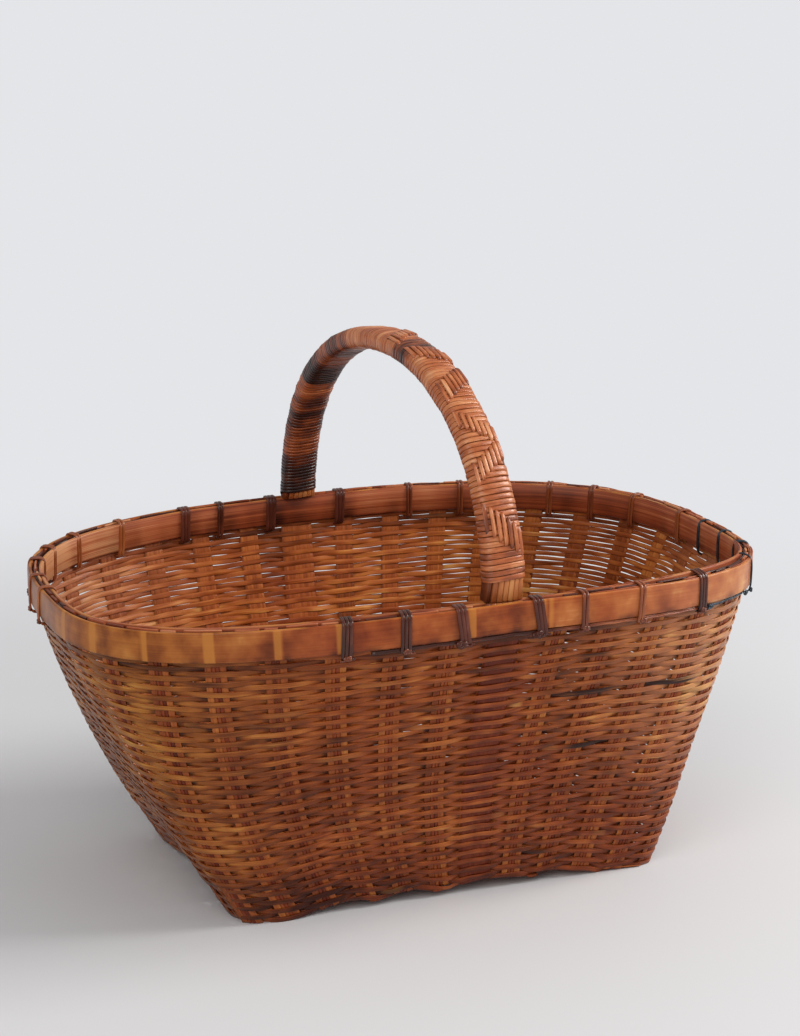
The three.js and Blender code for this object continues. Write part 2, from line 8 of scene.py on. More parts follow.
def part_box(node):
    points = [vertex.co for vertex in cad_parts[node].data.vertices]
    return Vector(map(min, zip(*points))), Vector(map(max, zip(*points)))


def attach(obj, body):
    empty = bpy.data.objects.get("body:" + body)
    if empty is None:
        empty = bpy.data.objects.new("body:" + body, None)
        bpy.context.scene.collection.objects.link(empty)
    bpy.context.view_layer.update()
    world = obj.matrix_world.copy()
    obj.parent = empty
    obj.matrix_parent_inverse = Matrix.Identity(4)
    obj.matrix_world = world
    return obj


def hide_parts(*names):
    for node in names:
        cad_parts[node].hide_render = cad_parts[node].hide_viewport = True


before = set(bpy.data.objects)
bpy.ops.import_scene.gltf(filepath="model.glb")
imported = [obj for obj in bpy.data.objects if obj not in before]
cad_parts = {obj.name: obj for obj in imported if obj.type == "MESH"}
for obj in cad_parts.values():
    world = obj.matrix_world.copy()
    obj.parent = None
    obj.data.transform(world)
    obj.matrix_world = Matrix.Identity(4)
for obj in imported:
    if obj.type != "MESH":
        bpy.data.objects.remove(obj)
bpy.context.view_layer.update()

scene = bpy.context.scene
print("frame loaded")

# Lengths in this file are millimetres, as in the CAD source, and become metres where a mesh is made.
toMetres = 0.001
tau = 2 * math.pi
upright = np.array([0, 0, 1.0])

# colours and nodes

# How the wall and the outer band have aged by place, and where a sheen is painted on them; places
# and reaches are in metres
ageingAndSheen = {
    # rubbed bright towards the upper right, where it is carried against a coat, and painted there with
    # a sheen, where the light from the right falls
    "sheenAndWearSpot": (0.212, -0.115, 0.175), "sheenAndWearColour": "#C9A07E",
    "sheenAndWearReach": {"From Min": 0.02, "From Max": 0.17, "To Max": 0.0},
    # the lowest 4 cm are darker
    "lowestDarkening": {"From Min": 0.004, "From Max": 0.042, "To Min": -0.17, "To Max": 0.0},
    # near the floor it is darker and redder, and it is redder in patches a hand wide
    "low": {"From Min": 0.005, "From Max": 0.15, "To Min": 0.85, "To Max": 0.1},
    "patchScale": 11.0, "patches": {"From Min": 0.45, "From Max": 0.62, "To Min": 0.0, "To Max": 0.9},
    # its left end is more golden outside, and pinker inside, as it was before it darkened
    "left": {"From Min": -0.08, "From Max": -0.2, "To Min": 0.0, "To Max": 0.75},
    "outside": {"From Min": -0.02, "From Max": 0.02},
}


def colour(code):
    # sRGB hex to the linear values that Blender works in
    parts = [int(code[i:i + 2], 16) / 255 for i in (1, 3, 5)]
    return tuple(p / 12.92 if p <= 0.04045 else ((p + 0.055) / 1.055) ** 2.4 for p in parts) + (1,)


def emptyTree(owner):
    owner.use_nodes = True
    owner.node_tree.nodes.clear()
    return owner.node_tree


def addNode(tree, kind, links=None, stops=(), **settings):
    # One node with its settings, what its inputs are linked or set to, and the stops of a colour ramp
    made = tree.nodes.new("ShaderNode" + kind)
    for name, value in settings.items():
        setattr(made, name, value)
    for name, value in (links or {}).items():
        socket = made.inputs[name]
        if isinstance(value, bpy.types.NodeSocket):
            tree.links.new(value, socket)
        else:
            socket.default_value = value
    if stops:
        elements = made.color_ramp.elements
        while len(elements) < len(stops):
            elements.new(0.5)
        for element, (place, code) in zip(elements, stops):
            element.position = place
            element.color = colour(code)
    return made


def agedSkinWithSheen(tree, place, brightness, settings):
    # The wall's and the outer band's colour, which changes over the basket; towards the upper right
    # it is also painted with a sheen
    axes = addNode(tree, "SeparateXYZ", {"Vector": place["Object"]}).outputs
    spot = addNode(tree, "VectorMath", {0: place["Object"], 1: ageingAndSheen["sheenAndWearSpot"]}, operation="DISTANCE")
    sheenAndWear = addNode(tree, "MapRange", {"Value": spot.outputs["Value"], "To Min": settings["sheenAndWear"],
                                      **ageingAndSheen["sheenAndWearReach"]}, interpolation_type="SMOOTHSTEP")
    # darker over the lowest 4 cm
    lowestDarkening = addNode(tree, "MapRange", {"Value": axes["Z"], **ageingAndSheen["lowestDarkening"]})
    for change in (sheenAndWear, lowestDarkening):
        brightness = addNode(tree, "Math", {0: brightness, 1: change.outputs[0]},
                             operation="ADD").outputs[0]
    skins = {part: addNode(tree, "ValToRGB", {"Fac": brightness},
                           stops=[*zip(settings["places"], settings[part])]).outputs["Color"]
             for part in ("stops", "lowStops", "insideStops", "leftStops")}
    low = addNode(tree, "MapRange", {"Value": axes["Z"], **ageingAndSheen["low"]})
    cloud = addNode(tree, "TexNoise", {"Vector": place["Object"], "Scale": ageingAndSheen["patchScale"],
                                       "Detail": 2.0})
    patches = addNode(tree, "MapRange", {"Value": cloud.outputs["Fac"], **ageingAndSheen["patches"]})
    reddened = addNode(tree, "Math", {0: low.outputs[0], 1: patches.outputs[0]}, operation="MAXIMUM")
    left = addNode(tree, "MapRange", {"Value": axes["X"], **ageingAndSheen["left"]})
    facing = addNode(tree, "VectorMath", {0: place["Normal"], 1: place["Object"]},
                     operation="DOT_PRODUCT")
    outside = addNode(tree, "MapRange", {"Value": facing.outputs["Value"], **ageingAndSheen["outside"]})
    leftSkin = addNode(tree, "Mix", {0: outside.outputs[0], 6: skins["insideStops"],
                                     7: skins["leftStops"]}, data_type="RGBA").outputs[2]
    skin = skins["stops"]
    # the last mix pales the upper right: wear, and a painted sheen
    for share, other in ((reddened, skins["lowStops"]), (left, leftSkin),
                         (sheenAndWear, colour(ageingAndSheen["sheenAndWearColour"]))):
        skin = addNode(tree, "Mix", {0: share.outputs[0], 6: skin, 7: other}, data_type="RGBA").outputs[2]
    return skin


def stripFinish(name, changes):
    # Split cane or bamboo seen close: long fibres, a tone of its own for each strip, stains that
    # run over neighbouring strips, and a satin skin
    settings = {**anyStrip, **changes}
    finish = bpy.data.materials.new(name)
    tree = emptyTree(finish)
    place = addNode(tree, "TexCoord").outputs
    noises = {}
    for part, detail, rough in (("fibre", 3.0, 0.6), ("streak", 2.0, 0.5)):
        drawnOut = addNode(tree, "Mapping", {"Vector": place["UV"], "Scale": settings[part]})
        noises[part] = addNode(tree, "TexNoise", {"Vector": drawnOut.outputs["Vector"], "Scale": 1.0,
                                                  "Detail": detail, "Roughness": rough},
                               noise_dimensions="2D").outputs["Fac"]
    noises["cloud"] = addNode(tree, "TexNoise", {"Vector": place["Object"], "Scale": settings["cloud"],
                                                 "Detail": 3.0}).outputs["Fac"]
    tone, mark = (addNode(tree, "Attribute", attribute_name=part).outputs["Fac"]
                  for part in ("tone", "mark"))
    # the patterns vary about a middle value, and the strip's own tone comes on top
    grain = 0.5 - 0.5 * sum(settings[part + "Depth"] for part in noises)
    for part, noise in noises.items():
        grain = addNode(tree, "Math", {0: noise, 1: settings[part + "Depth"], 2: grain},
                        operation="MULTIPLY_ADD").outputs[0]
    brightness = addNode(tree, "Math", {0: tone, 1: settings["toneDepth"], 2: grain},
                         operation="MULTIPLY_ADD").outputs[0]
    if "lowStops" in settings:
        skin = agedSkinWithSheen(tree, place, brightness, settings)
    else:
        skin = addNode(tree, "ValToRGB", {"Fac": brightness},
                       stops=[*zip(settings["places"], settings["stops"])]).outputs["Color"]
    # a mark above zero is a stain, and on the weavers also painted shade, which soaks in unevenly,
    # and one below zero is a faded place, and on the bands' top edges also a painted highlight
    soaked = addNode(tree, "Math", {0: grain, 1: -settings["soak"], 2: settings["soak"]},
                     operation="MULTIPLY_ADD")
    stain = addNode(tree, "Math", {0: mark, 1: soaked.outputs[0]}, operation="MULTIPLY")
    fadingAndHighlight = addNode(tree, "Math", {0: mark, 1: -1.0}, operation="MULTIPLY")
    for share, part in ((stain, "dark"), (fadingAndHighlight, "pale")):
        skin = addNode(tree, "Mix", {0: share.outputs[0], 6: skin, 7: colour(settings[part])},
                       data_type="RGBA").outputs[2]
    rough = addNode(tree, "MapRange", {"Value": noises["fibre"], "To Min": settings["gloss"][0],
                                       "To Max": settings["gloss"][1]})
    bump = addNode(tree, "Bump", {"Strength": settings["bump"], "Distance": settings["bumpDistance"],
                                  "Height": noises["fibre"]})
    shader = addNode(tree, "BsdfPrincipled", {"Base Color": skin, "Roughness": rough.outputs[0],
                                              "Normal": bump.outputs["Normal"], "IOR": settings["ior"],
                                              "Specular IOR Level": settings["sheen"]})
    addNode(tree, "OutputMaterial", {"Surface": shader.outputs[0]})
    return finish


# meshes from swept strips


def rounded(value, power):
    # A power that keeps its sign: it makes a circle's sine and cosine squarer
    return np.sign(value) * np.abs(value) ** power


# Cross-sections, in shares of half the width and half the thickness. The flat one has its corners
# taken off as a knife leaves them.
flatSection = np.array([(1, -0.45), (1, 0.45), (0.8, 1), (-0.8, 1),
                        (-1, 0.45), (-1, -0.45), (-0.8, -1), (0.8, -1)], float)
eighths = np.arange(8) * tau / 8 + tau / 16
roundSection = np.stack([np.cos(eighths), np.sin(eighths)], 1) * 1.04
tenths = np.arange(10) * tau / 10
softSection = np.stack([rounded(np.cos(tenths), 0.6), rounded(np.sin(tenths), 0.75)], 1)
# nearly square, for splints as deep as they are wide
squareSection = np.array([(1, -0.85), (1, 0.85), (0.8, 0.98), (0.4, 1), (-0.4, 1), (-0.8, 0.98),
                          (-1, 0.85), (-1, -0.85), (-0.8, -0.98), (-0.4, -1), (0.4, -1), (0.8, -0.98)])
patternStep = 7.3  # from one strip of a piece to the next, across the fibres, so that none look alike
floorGap = 0.02    # nothing sinks into the floor


def unit(vectors):
    return vectors / np.maximum(np.linalg.norm(vectors, axis=-1, keepdims=True), 1e-9)


def lengthsAlong(points):
    # How far each point is from the first one, along their line
    return np.concatenate([[0], np.cumsum(np.linalg.norm(np.diff(points, axis=0), axis=1))])


def strip(centre, wide, halfWide, halfThick, section=flatSection, tone=0.0, mark=0.0, out=None):
    # One swept strip: stations along centre, its width running along wide
    centre = np.asarray(centre, float)
    count = len(centre)
    run = unit(np.gradient(centre, axis=0))
    wide = np.broadcast_to(wide, centre.shape)
    wide = unit(wide - run * (wide * run).sum(1)[:, None])
    face = np.cross(run, wide)
    # the section's upper side looks the way that out points
    if out is not None and (face * out).sum() < 0:
        face = -face
    tone, mark = (np.asarray(v, float) for v in (tone, mark))
    # the section runs the way round that turns the strip's faces outwards
    if (np.cross(wide, face) * run).sum() < 0:
        section = section[::-1]
        tone, mark = (v[:, ::-1] if v.ndim == 2 else v for v in (tone, mark))
    tone, mark = (np.broadcast_to(v[:, None] if v.ndim == 1 else v, (count, len(section)))
                  for v in (tone, mark))
    halfWide = np.broadcast_to(halfWide, count)[:, None, None]
    halfThick = np.broadcast_to(halfThick, count)[:, None, None]
    points = (centre[:, None] + wide[:, None] * section[None, :, :1] * halfWide
              + face[:, None] * section[None, :, 1:] * halfThick)
    loop = np.concatenate([section, section[:1]])
    around = lengthsAlong(loop * [float(halfWide.mean()), float(halfThick.mean())])
    return {"points": points, "along": lengthsAlong(centre), "around": around, "tone": tone,
            "mark": mark}


def stripMesh(name, strips):
    # All strips of one piece in one mesh, with the distance along and round each strip as its UV
    spots, corners, starts, uvs, smooth = [], [], [], [], []
    vertices = 0
    loops = 0
    for number, s in enumerate(strips):
        n, m = s["points"].shape[:2]
        index = vertices + np.arange(n * m).reshape(n, m)
        after = np.roll(index, -1, 1)
        quads = np.stack([index[:-1], after[:-1], after[1:], index[1:]], -1).reshape(-1, 4)
        u = s["along"]
        v = s["around"] + number * patternStep
        uA, uB = np.repeat(u[:-1], m), np.repeat(u[1:], m)
        vA, vB = np.tile(v[:-1], n - 1), np.tile(v[1:], n - 1)
        quadUv = np.stack([np.stack([uA, vA], -1), np.stack([uA, vB], -1),
                           np.stack([uB, vB], -1), np.stack([uB, vA], -1)], 1)
        # the quads round the strip, then the two faces that close its ends
        corners += [quads.ravel(), index[0, ::-1], index[-1]]
        starts += [loops + 4 * np.arange(len(quads)), [loops + 4 * len(quads)],
                   [loops + 4 * len(quads) + m]]
        capUv = np.stack([np.full(m, u[0]), v[:-1]], -1)
        uvs += [quadUv.reshape(-1, 2), capUv[::-1], capUv + [u[-1] - u[0], 0]]
        smooth += [np.ones(len(quads), bool), [False, False]]
        spots.append(np.maximum(s["points"].reshape(-1, 3), [-np.inf, -np.inf, floorGap]))
        vertices += n * m
        loops += 4 * len(quads) + 2 * m
    mesh = bpy.data.meshes.new(name)
    mesh.vertices.add(vertices)
    mesh.vertices.foreach_set("co", (np.concatenate(spots) * toMetres).ravel())
    mesh.loops.add(loops)
    mesh.loops.foreach_set("vertex_index", np.concatenate(corners).astype(np.int32))
    starts = np.concatenate(starts).astype(np.int32)
    mesh.polygons.add(len(starts))
    mesh.polygons.foreach_set("loop_start", starts)
    mesh.update(calc_edges=True)
    mesh.validate()
    mesh.polygons.foreach_set("use_smooth", np.concatenate(smooth))
    layer = mesh.uv_layers.new(name="strip")
    layer.data.foreach_set("uv", (np.concatenate(uvs) * toMetres).astype(np.float32).ravel())
    for label in ("tone", "mark"):
        values = np.concatenate([s[label].ravel() for s in strips])
        attribute = mesh.attributes.new(label, "FLOAT", "POINT")
        attribute.data.foreach_set("value", values.astype(np.float32))
    return mesh


def addPiece(name, strips, finish, nodes=()):
    mesh = stripMesh(name, strips)
    piece = bpy.data.objects.new(name, mesh)
    scene.collection.objects.link(piece)
    mesh.materials.append(finish)
    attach(piece, "root")
    if nodes:
        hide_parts(*nodes)


def waves(place, seed, counts, size):
    # Smooth unevenness that closes on itself once round; counts are the waves per turn
    draw = np.random.default_rng(seed)
    total = np.zeros_like(np.asarray(place, float))
    for count in counts:
        total = total + draw.uniform(0.5, 1.2) * np.sin(tau * (count * place + draw.uniform()))
    return size * total / math.sqrt(len(counts))


def roundFrom(share, place):
    # How far round from a place, the shorter way: shares of the whole round
    return (share - place + 0.5) % 1 - 0.5


def near(share, place, spread, length=1):
    # 1 at a place on the round, fading past its spread: in shares, or in millimetres of a round's length
    return np.exp(-(roundFrom(share, place) * length / spread) ** 2)


# the basket's form, from the CAD source's named sizes

form = {
    "rimHalfLength": 230, "rimHalfWidth": 154.5, "rimHeight": 209.5, "rimEndRise": 8,
    "rimEndSag": 7.4, "rimTaper": 0.018, "cornerPowers": (2.94, 3.3, 2.62, 3.2),
    "baseHalfLength": 143.8, "baseHalfWidth": 90.5, "baseCornerPower": 15,
    "baseShift": (6.7, -2.5), "baseTurn": math.radians(2.7), "footLength": 20,
    "archRiseLength": 60, "archHeight": 7.2, "wallInset": 2.9, "wallThickness": 3.2,
    "leftEndBulge": 0.2, "cornerBlendPower": 1.3, "bandHeight": 18.5, "bandThickness": 2.6,
    "innerBandInset": 6.4,
    # the front right foot stands out: its angle, the angle that fades over, by how much, up to which
    # level of the wall
    "footAngle": 5.72, "footSpread": 0.28, "footPush": 7.0, "footLevel": 0.45, "footPower": 1.3,
}
wallMiddle = form["wallInset"] + form["wallThickness"] / 2
wallHeight = form["rimHeight"] - form["bandHeight"]


def smoothStep(share):
    share = np.clip(share, 0, 1)
    return share * share * (3 - 2 * share)


def footPush(angle):
    away = (np.mod(angle, tau) - form["footAngle"]) / form["footSpread"]
    return form["footPush"] * np.exp(-away ** 2)


def outline(angle, level, inset):
    # The wall's plan at a level from 0 at the base to 1 at the rim
    angle, level = np.asarray(angle, float), np.asarray(level, float)
    c, s = np.cos(angle), np.sin(angle)
    rightBack, leftBack, leftFront, rightFront = form["cornerPowers"]
    corner = np.where(c >= 0, np.where(s >= 0, rightBack, rightFront),
                      np.where(s >= 0, leftBack, leftFront))
    blend = np.maximum(level, 0) ** form["cornerBlendPower"]
    power = 1 / ((1 - blend) / form["baseCornerPower"] + blend / corner)
    share = level + 2 * np.where(c >= 0, 0, form["leftEndBulge"]) * level * (1 - level)
    edge = form["wallInset"]
    longTop, wideTop = form["rimHalfLength"] - edge, form["rimHalfWidth"] - edge
    halfLong = form["baseHalfLength"] + (longTop - form["baseHalfLength"]) * share + edge - inset
    halfWide = form["baseHalfWidth"] + (wideTop - form["baseHalfWidth"]) * level + edge - inset
    radius = ((np.abs(c) / halfLong) ** power + (np.abs(s) / halfWide) ** power) ** (-1 / power)
    x = radius * c
    y = radius * s * (1 - form["rimTaper"] * level * x / form["rimHalfLength"])
    x = x + footPush(angle) * np.clip(1 - level / form["footLevel"], 0, 1) ** form["footPower"]
    turn = form["baseTurn"] * (1 - level)
    shiftX, shiftY = form["baseShift"]
    return (x * np.cos(turn) - y * np.sin(turn) + shiftX * (1 - level),
            x * np.sin(turn) + y * np.cos(turn) + shiftY * (1 - level))


def rimTop(x):
    share = x / form["rimHalfLength"]
    return form["rimHeight"] + form["rimEndRise"] * share - form["rimEndSag"] * share ** 2


def bottomEdge(angle):
    # Height of the wall's lower edge, which is arched up between the feet
    slope = np.maximum(np.abs(np.tan(angle)), 1e-9)
    steep = slope * form["baseHalfLength"] > form["baseHalfWidth"]
    reach = np.where(steep, form["baseHalfLength"], form["baseHalfWidth"])
    place = np.where(steep, form["baseHalfWidth"] / slope, form["baseHalfLength"] * slope)
    return form["archHeight"] * smoothStep((reach - place - form["footLength"]) / form["archRiseLength"])


def wallPoint(angle, level, inset=wallMiddle):
    x, y = outline(angle, level, inset)
    low = rimTop(outline(angle, 1.0, 0)[0]) - form["bandHeight"]
    return np.stack([x, y, bottomEdge(angle) * (1 - level) + low * level], -1)


def bandPoint(angle, inset, above):
    x, y = outline(angle, 1.0, inset)
    return np.stack([x, y, rimTop(outline(angle, 1.0, 0)[0]) + above], -1)


fineAngles = np.linspace(0, tau, 2881)  # eight to a degree


def roundLengths(level, inset=wallMiddle):
    x, y = outline(fineAngles, level, inset)
    return np.concatenate([[0], np.cumsum(np.hypot(np.diff(x), np.diff(y)))])


rimLength = roundLengths(1.0, 0)[-1]


def angleAt(share, level, inset=wallMiddle):
    # Angle at a share of the way round, counterclockwise from the middle of the right end
    lengths = roundLengths(level, inset)
    whole = np.floor(share)
    return np.interp((share - whole) * lengths[-1], lengths, fineAngles) + tau * whole


def wallFrame(angle, level):
    # Point of the wall's middle sheet, the way up the wall, the way out of it
    turn, rise = 1e-3, 0.01
    here = wallPoint(angle, level)
    up = wallPoint(angle, level + rise) - wallPoint(angle, level - rise)
    run = wallPoint(angle + turn, level) - wallPoint(angle - turn, level)
    return here, up / (2 * rise), unit(np.cross(run, up))


# finishes

# What the finishes have unless they say otherwise. A fibre or streak scale counts the pattern per
# metre along and across the strip, so these fibres are 40 mm long and 0.4 mm wide; a cloud scale
# counts it per metre all ways, and a depth is its share of the way from the first stop to the last.
anyStrip = {
    "fibre": (25, 2500, 1), "fibreDepth": 0.4, "streak": (18, 400, 1), "streakDepth": 0.4,
    "cloud": 25, "cloudDepth": 0.5, "toneDepth": 0.16, "places": (0.0, 0.3, 0.55, 0.8, 1.0),
    "dark": "#2A1612", "pale": "#D9A968", "soak": 1.6, "gloss": (0.34, 0.52), "bump": 0.3,
    "bumpDistance": 0.0003, "ior": 1.5, "sheen": 0.2,
}
anyCane = {"fibre": (30, 2500, 1), "fibreDepth": 0.35, "streak": (60, 500, 1), "cloud": 40,
           "toneDepth": 0.2, "bump": 0.2, "ior": 1.52}

# strips of the culm's outer wood, stained brown: fibres 30 mm long, a satin shine on each strip's crown
weaveFinish = stripFinish("dyed bamboo weaving strip, satin", {
    "fibre": (33, 2500, 1), "fibreDepth": 0.5, "streak": (22, 500, 1), "streakDepth": 0.5,
    # wear and a painted sheen lighten the upper right, by the last amount on the next line
    "cloud": 22, "cloudDepth": 0.75, "toneDepth": 0.2, "sheenAndWear": 0.3,
    "stops": ("#421B0A", "#753915", "#9A4F21", "#BC7033", "#D69C56"),
    "lowStops": ("#3A1409", "#692C14", "#883E1C", "#A85B2A", "#CA8C48"),
    "leftStops": ("#40210C", "#6F3E18", "#8E5722", "#AE7833", "#CDA052"),
    "insideStops": ("#48211A", "#83482F", "#A96649", "#C68968", "#DDAF90"),
    "dark": "#2E140C", "pale": "#C48C4C", "gloss": (0.24, 0.45), "bump": 0.35})
# the same wood scraped down to splints, a little duller
stakeFinish = stripFinish("bamboo stake splint, satin", {
    "cloudDepth": 0.6, "stops": ("#45190B", "#75371A", "#974F24", "#B26C33", "#CC9450")})
# the dye of the narrow splints evens out their fibres
redFinish = stripFinish("red-brown bamboo stake splint, satin", {
    "fibreDepth": 0.35, "places": (0.0, 0.35, 0.6, 0.8, 1.0),
    "stops": ("#35100A", "#622512", "#82391B", "#9D5226", "#BA7438"), "pale": "#B47A48"})
# the skin of the culm: leathery blotches and few streaks
bandFinish = stripFinish("bamboo culm skin, oiled", {
    "fibre": (14, 1100, 1), "fibreDepth": 0.22, "streak": (9, 160, 1), "streakDepth": 0.3,
    # wear and a painted sheen lighten the upper right, by the last amount on the next line
    "cloud": 55, "cloudDepth": 1.25, "toneDepth": 0.17, "sheenAndWear": 0.2,
    "stops": ("#4A1A0A", "#823818", "#A45225", "#BA6C36", "#D0935A"),
    "lowStops": ("#3E150B", "#732D17", "#934122", "#AE5A2F", "#C4824C"),
    "leftStops": ("#47230C", "#7F4618", "#A06226", "#B97D38", "#CFA154"),
    "insideStops": ("#451A0F", "#7A3A22", "#9C5232", "#B86F4C", "#D09A74"),
    "dark": "#38180D", "pale": "#C07C36", "gloss": (0.26, 0.4), "bump": 0.2, "sheen": 0.22})
# the split side: long straight fibres, which show as dark lines
splitFinish = stripFinish("split bamboo culm, oiled", {
    "fibre": (9, 1700, 1), "fibreDepth": 0.75, "streak": (7, 420, 1), "streakDepth": 0.6,
    "cloud": 16, "cloudDepth": 0.7, "toneDepth": 0.2,
    "stops": ("#451A0F", "#7B371E", "#9D4E2C", "#B66A44", "#CF9468"),
    "dark": "#33150F", "pale": "#BF7D38", "gloss": (0.32, 0.5), "bump": 0.35, "sheen": 0.3})
# bare scraped wood of the handle: pale, nearly matt, streaked lengthways
splintFinish = stripFinish("pale bamboo splint, scraped", {
    "streak": (18, 300, 1), "cloud": 40, "dark": "#33150F", "sheen": 0.35,
    "stops": ("#5A2A16", "#98512B", "#BF7542", "#D29056", "#E4B07C")})
# rattan skin, polished by hands: a soft shine, near black to golden by how much it is held; its
# lightest stretch is partly a painted highlight
wrapFinish = stripFinish("wrapping cane, polished by hands", {
    **anyCane, "fibre": (30, 2000, 1), "fibreDepth": 0.3, "streakDepth": 0.5,
    "cloud": 70, "cloudDepth": 0.6, "toneDepth": 0.17, "places": (0.0, 0.2, 0.4, 0.58, 0.78, 1.0),
    "stops": ("#24100C", "#4C2013", "#82401F", "#A9592D", "#C98152", "#E0AC82"),
    "dark": "#1E1110", "gloss": (0.22, 0.4), "bump": 0.25, "sheen": 0.5})
# rattan skin dark with age and oil: narrow bright highlights
brownCaneFinish = stripFinish("brown cane tie", {
    **anyCane, "places": (0.0, 0.25, 0.5, 0.75, 1.0),
    "stops": ("#2E130C", "#4C2114", "#7A3B1F", "#9A552C", "#BC7C48"),
    "pale": "#B47A48", "gloss": (0.18, 0.34), "sheen": 0.42})
# the same, dyed nearly black and smoother
darkCaneFinish = stripFinish("dark cane lashing", {
    **anyCane, "places": (0.0, 0.35, 0.7, 1.0), "stops": ("#1E0D09", "#431E15", "#643326", "#905C4B"),
    "dark": "#1A100E", "pale": "#8A6450", "gloss": (0.14, 0.28), "sheen": 0.3})


def ironFinish():
    # annealed binding wire, blued and dull, with brighter rubbed places 5 mm apart
    finish = bpy.data.materials.new("blued iron binding wire")
    tree = emptyTree(finish)
    place = addNode(tree, "TexCoord").outputs
    cloud = addNode(tree, "TexNoise", {"Vector": place["Object"], "Scale": 220.0,
                                       "Detail": 3.0}).outputs["Fac"]
    skin = addNode(tree, "ValToRGB", {"Fac": cloud},
                   stops=((0.3, "#20262E"), (0.55, "#39434D"), (0.8, "#5D6B78")))
    rough = addNode(tree, "MapRange", {"Value": cloud, "To Min": 0.55, "To Max": 0.35})
    shader = addNode(tree, "BsdfPrincipled", {"Base Color": skin.outputs["Color"], "Metallic": 0.7,
                                              "Roughness": rough.outputs[0]})
    addNode(tree, "OutputMaterial", {"Surface": shader.outputs[0]})
    return finish


wireFinish = ironFinish()

# wall: weavers

weave = {
    "rows": 57, "stakes": 36, "phase": 0.39, "swing": 0.86, "thickness": 0.74, "fill": 0.98,
    # the right end and the back right corner are woven more openly, the left half tighter: share of
    # the way round, spread, change
    "fillChanges": ((0.1, 0.1, -0.078), (0.4, 0.1, 0.035), (0.23, 0.06, 0.035)),
    "stationsPerGap": 12, "seed": 11,
    # the way up the wall from its lower edge to the rim bands, on average
    "slopeLength": 205,
    # unevenness: of the rows' heights in millimetres, then of each strip's width, tilt and tone
    "swell": 0.34, "wobble": 0.2, "widthSpread": 0.035, "widthWaves": 0.055, "tiltWaves": 0.16,
    "toneSpread": 0.4, "toneWaves": 0.55,
    # the ends of a round meet behind one of the stakes from this one on, at the front right corner,
    # and each stops this share of a round short of the stake's middle
    "meetStake": 30, "meetGap": 0.0002,
    # the stakes that the handle runs down in are wider
    "stakeHalf": 6.2, "legStakes": (9, 27), "legHalf": 11.3,
    # share of the way round, row, half length, stain: burnt stretches and rubbed pale ones
    "marks": ((0.829, 29, 23, 1.5), (0.866, 41, 25, 1.5), (0.811, 41, 30, 1.1), (0.6383, 43, 12, 0.7),
              (0.7648, 42, 4, -0.7), (0.7743, 40, 5, -0.7), (0.6532, 46, 6, -0.7),
              (0.6751, 45, 5, -0.7), (0.7974, 43, 5, -0.6), (0.6620, 27, 9, 0.5),
              (0.7420, 22, 10, 0.5), (0.7050, 12, 8, 0.5), (0.8130, 49, 10, 0.6)),
    "markRange": (-1, 1.5),
    # flecks at random places: how many on a row, half length, stains to choose from
    "flecksPerRow": 9, "fleckHalf": (4, 16), "fleckStains": (0.5, 0.3, 0.2, -0.15),
    # golden and grimy stretches: share of the way round, spread, level and its spread, tone
    "patches": ((0.225, 0.022, 0.6, 0.3, 0.9), (0.268, 0.018, 0.6, 0.3, -0.6),
                (0.731, 0.013, 0.55, 0.4, 0.8), (0.665, 0.05, 0.02, 0.12, -1.0),
                (0.632, 0.025, 0.03, 0.13, -1.2), (0.592, 0.03, 0.7, 0.3, 0.2),
                (0.79, 0.014, 0.1, 0.15, -0.5)),
    # the inner side has kept its colour, most of all at the back left, but for dark stretches high up
    # at the back: share of the way round, spread, tone, and the level that the dark ones start at
    "innerTone": 0.65, "innerPale": (0.4, 0.1, 0.45), "innerMarks": 0.4,
    "innerDark": ((0.315, 0.05, 0.75, 0.76), (0.272, 0.028, 0.5, 0.76), (0.2, 0.045, 1.0, 0.84)),
    # painted shade in the pockets beside the stakes: strength, how far behind it starts, how soon it is full
    "innerDarkFade": 0.12, "pocketShade": 0.8, "pocketShadeDepth": 0.7, "pocketShadeFade": 0.2,
    # the lower edge bulges over the strips below the base, and once more near the right foot
    "bumps": (0.691, 0.739, 0.81, 0.868), "bumpDrop": 3.2, "bumpHalf": 12, "bumpRows": 8,
    "lowestPitch": 0.94, "lowestGap": 0.15,
}


def weaverOffset(share, row, length):
    # +1 in front of a stake, -1 behind it, and nearly straight on its way from one to the next
    place = share * weave["stakes"] - weave["phase"]
    before = np.floor(place).astype(int)
    part = place - before
    pitch = length / weave["stakes"]
    flat = [np.where(np.isin((before + k) % weave["stakes"], weave["legStakes"]),
                     weave["legHalf"], weave["stakeHalf"]) for k in (0, 1)]
    t = np.clip((part * pitch - flat[0]) / (pitch - flat[0] - flat[1]), 0, 1)
    side = np.where((before + row) % 2 == 0, 1, -1)
    return side * (0.5 * np.cos(math.pi * t) + 0.5 * (1 - 2 * t))


def weaverPath(share, row, level, length):
    # One round on the wall's middle sheet, uneven as hands leave it, with the pitch of the rows there
    swell = waves(share, 5, (5, 9, 14, 23, 31), weave["swell"]) * math.sin(row * 0.23)
    swell = swell + waves(share, 6, (4, 7, 12, 19, 27), weave["swell"]) * math.cos(row * 0.31)
    wobble = waves(share, 100 + row, (11, 23, 37, 58), weave["wobble"])
    here, up, out = wallFrame(angleAt(share, level), level + (swell + wobble) / weave["slopeLength"])
    pitch = np.linalg.norm(up, axis=1) / weave["rows"]
    if row < weave["bumpRows"]:
        drop = weave["bumpDrop"] * (1 - row / weave["bumpRows"])
        for place in weave["bumps"]:
            fall = drop * near(share, place, weave["bumpHalf"], length) / weave["slopeLength"]
            here = here - up * fall[:, None]
        # no row sinks under the ones below it, or into the floor
        here[:, 2] = np.maximum(here[:, 2], (row + 0.5) * weave["lowestPitch"] * pitch + weave["lowestGap"])
    return here, up, out, pitch


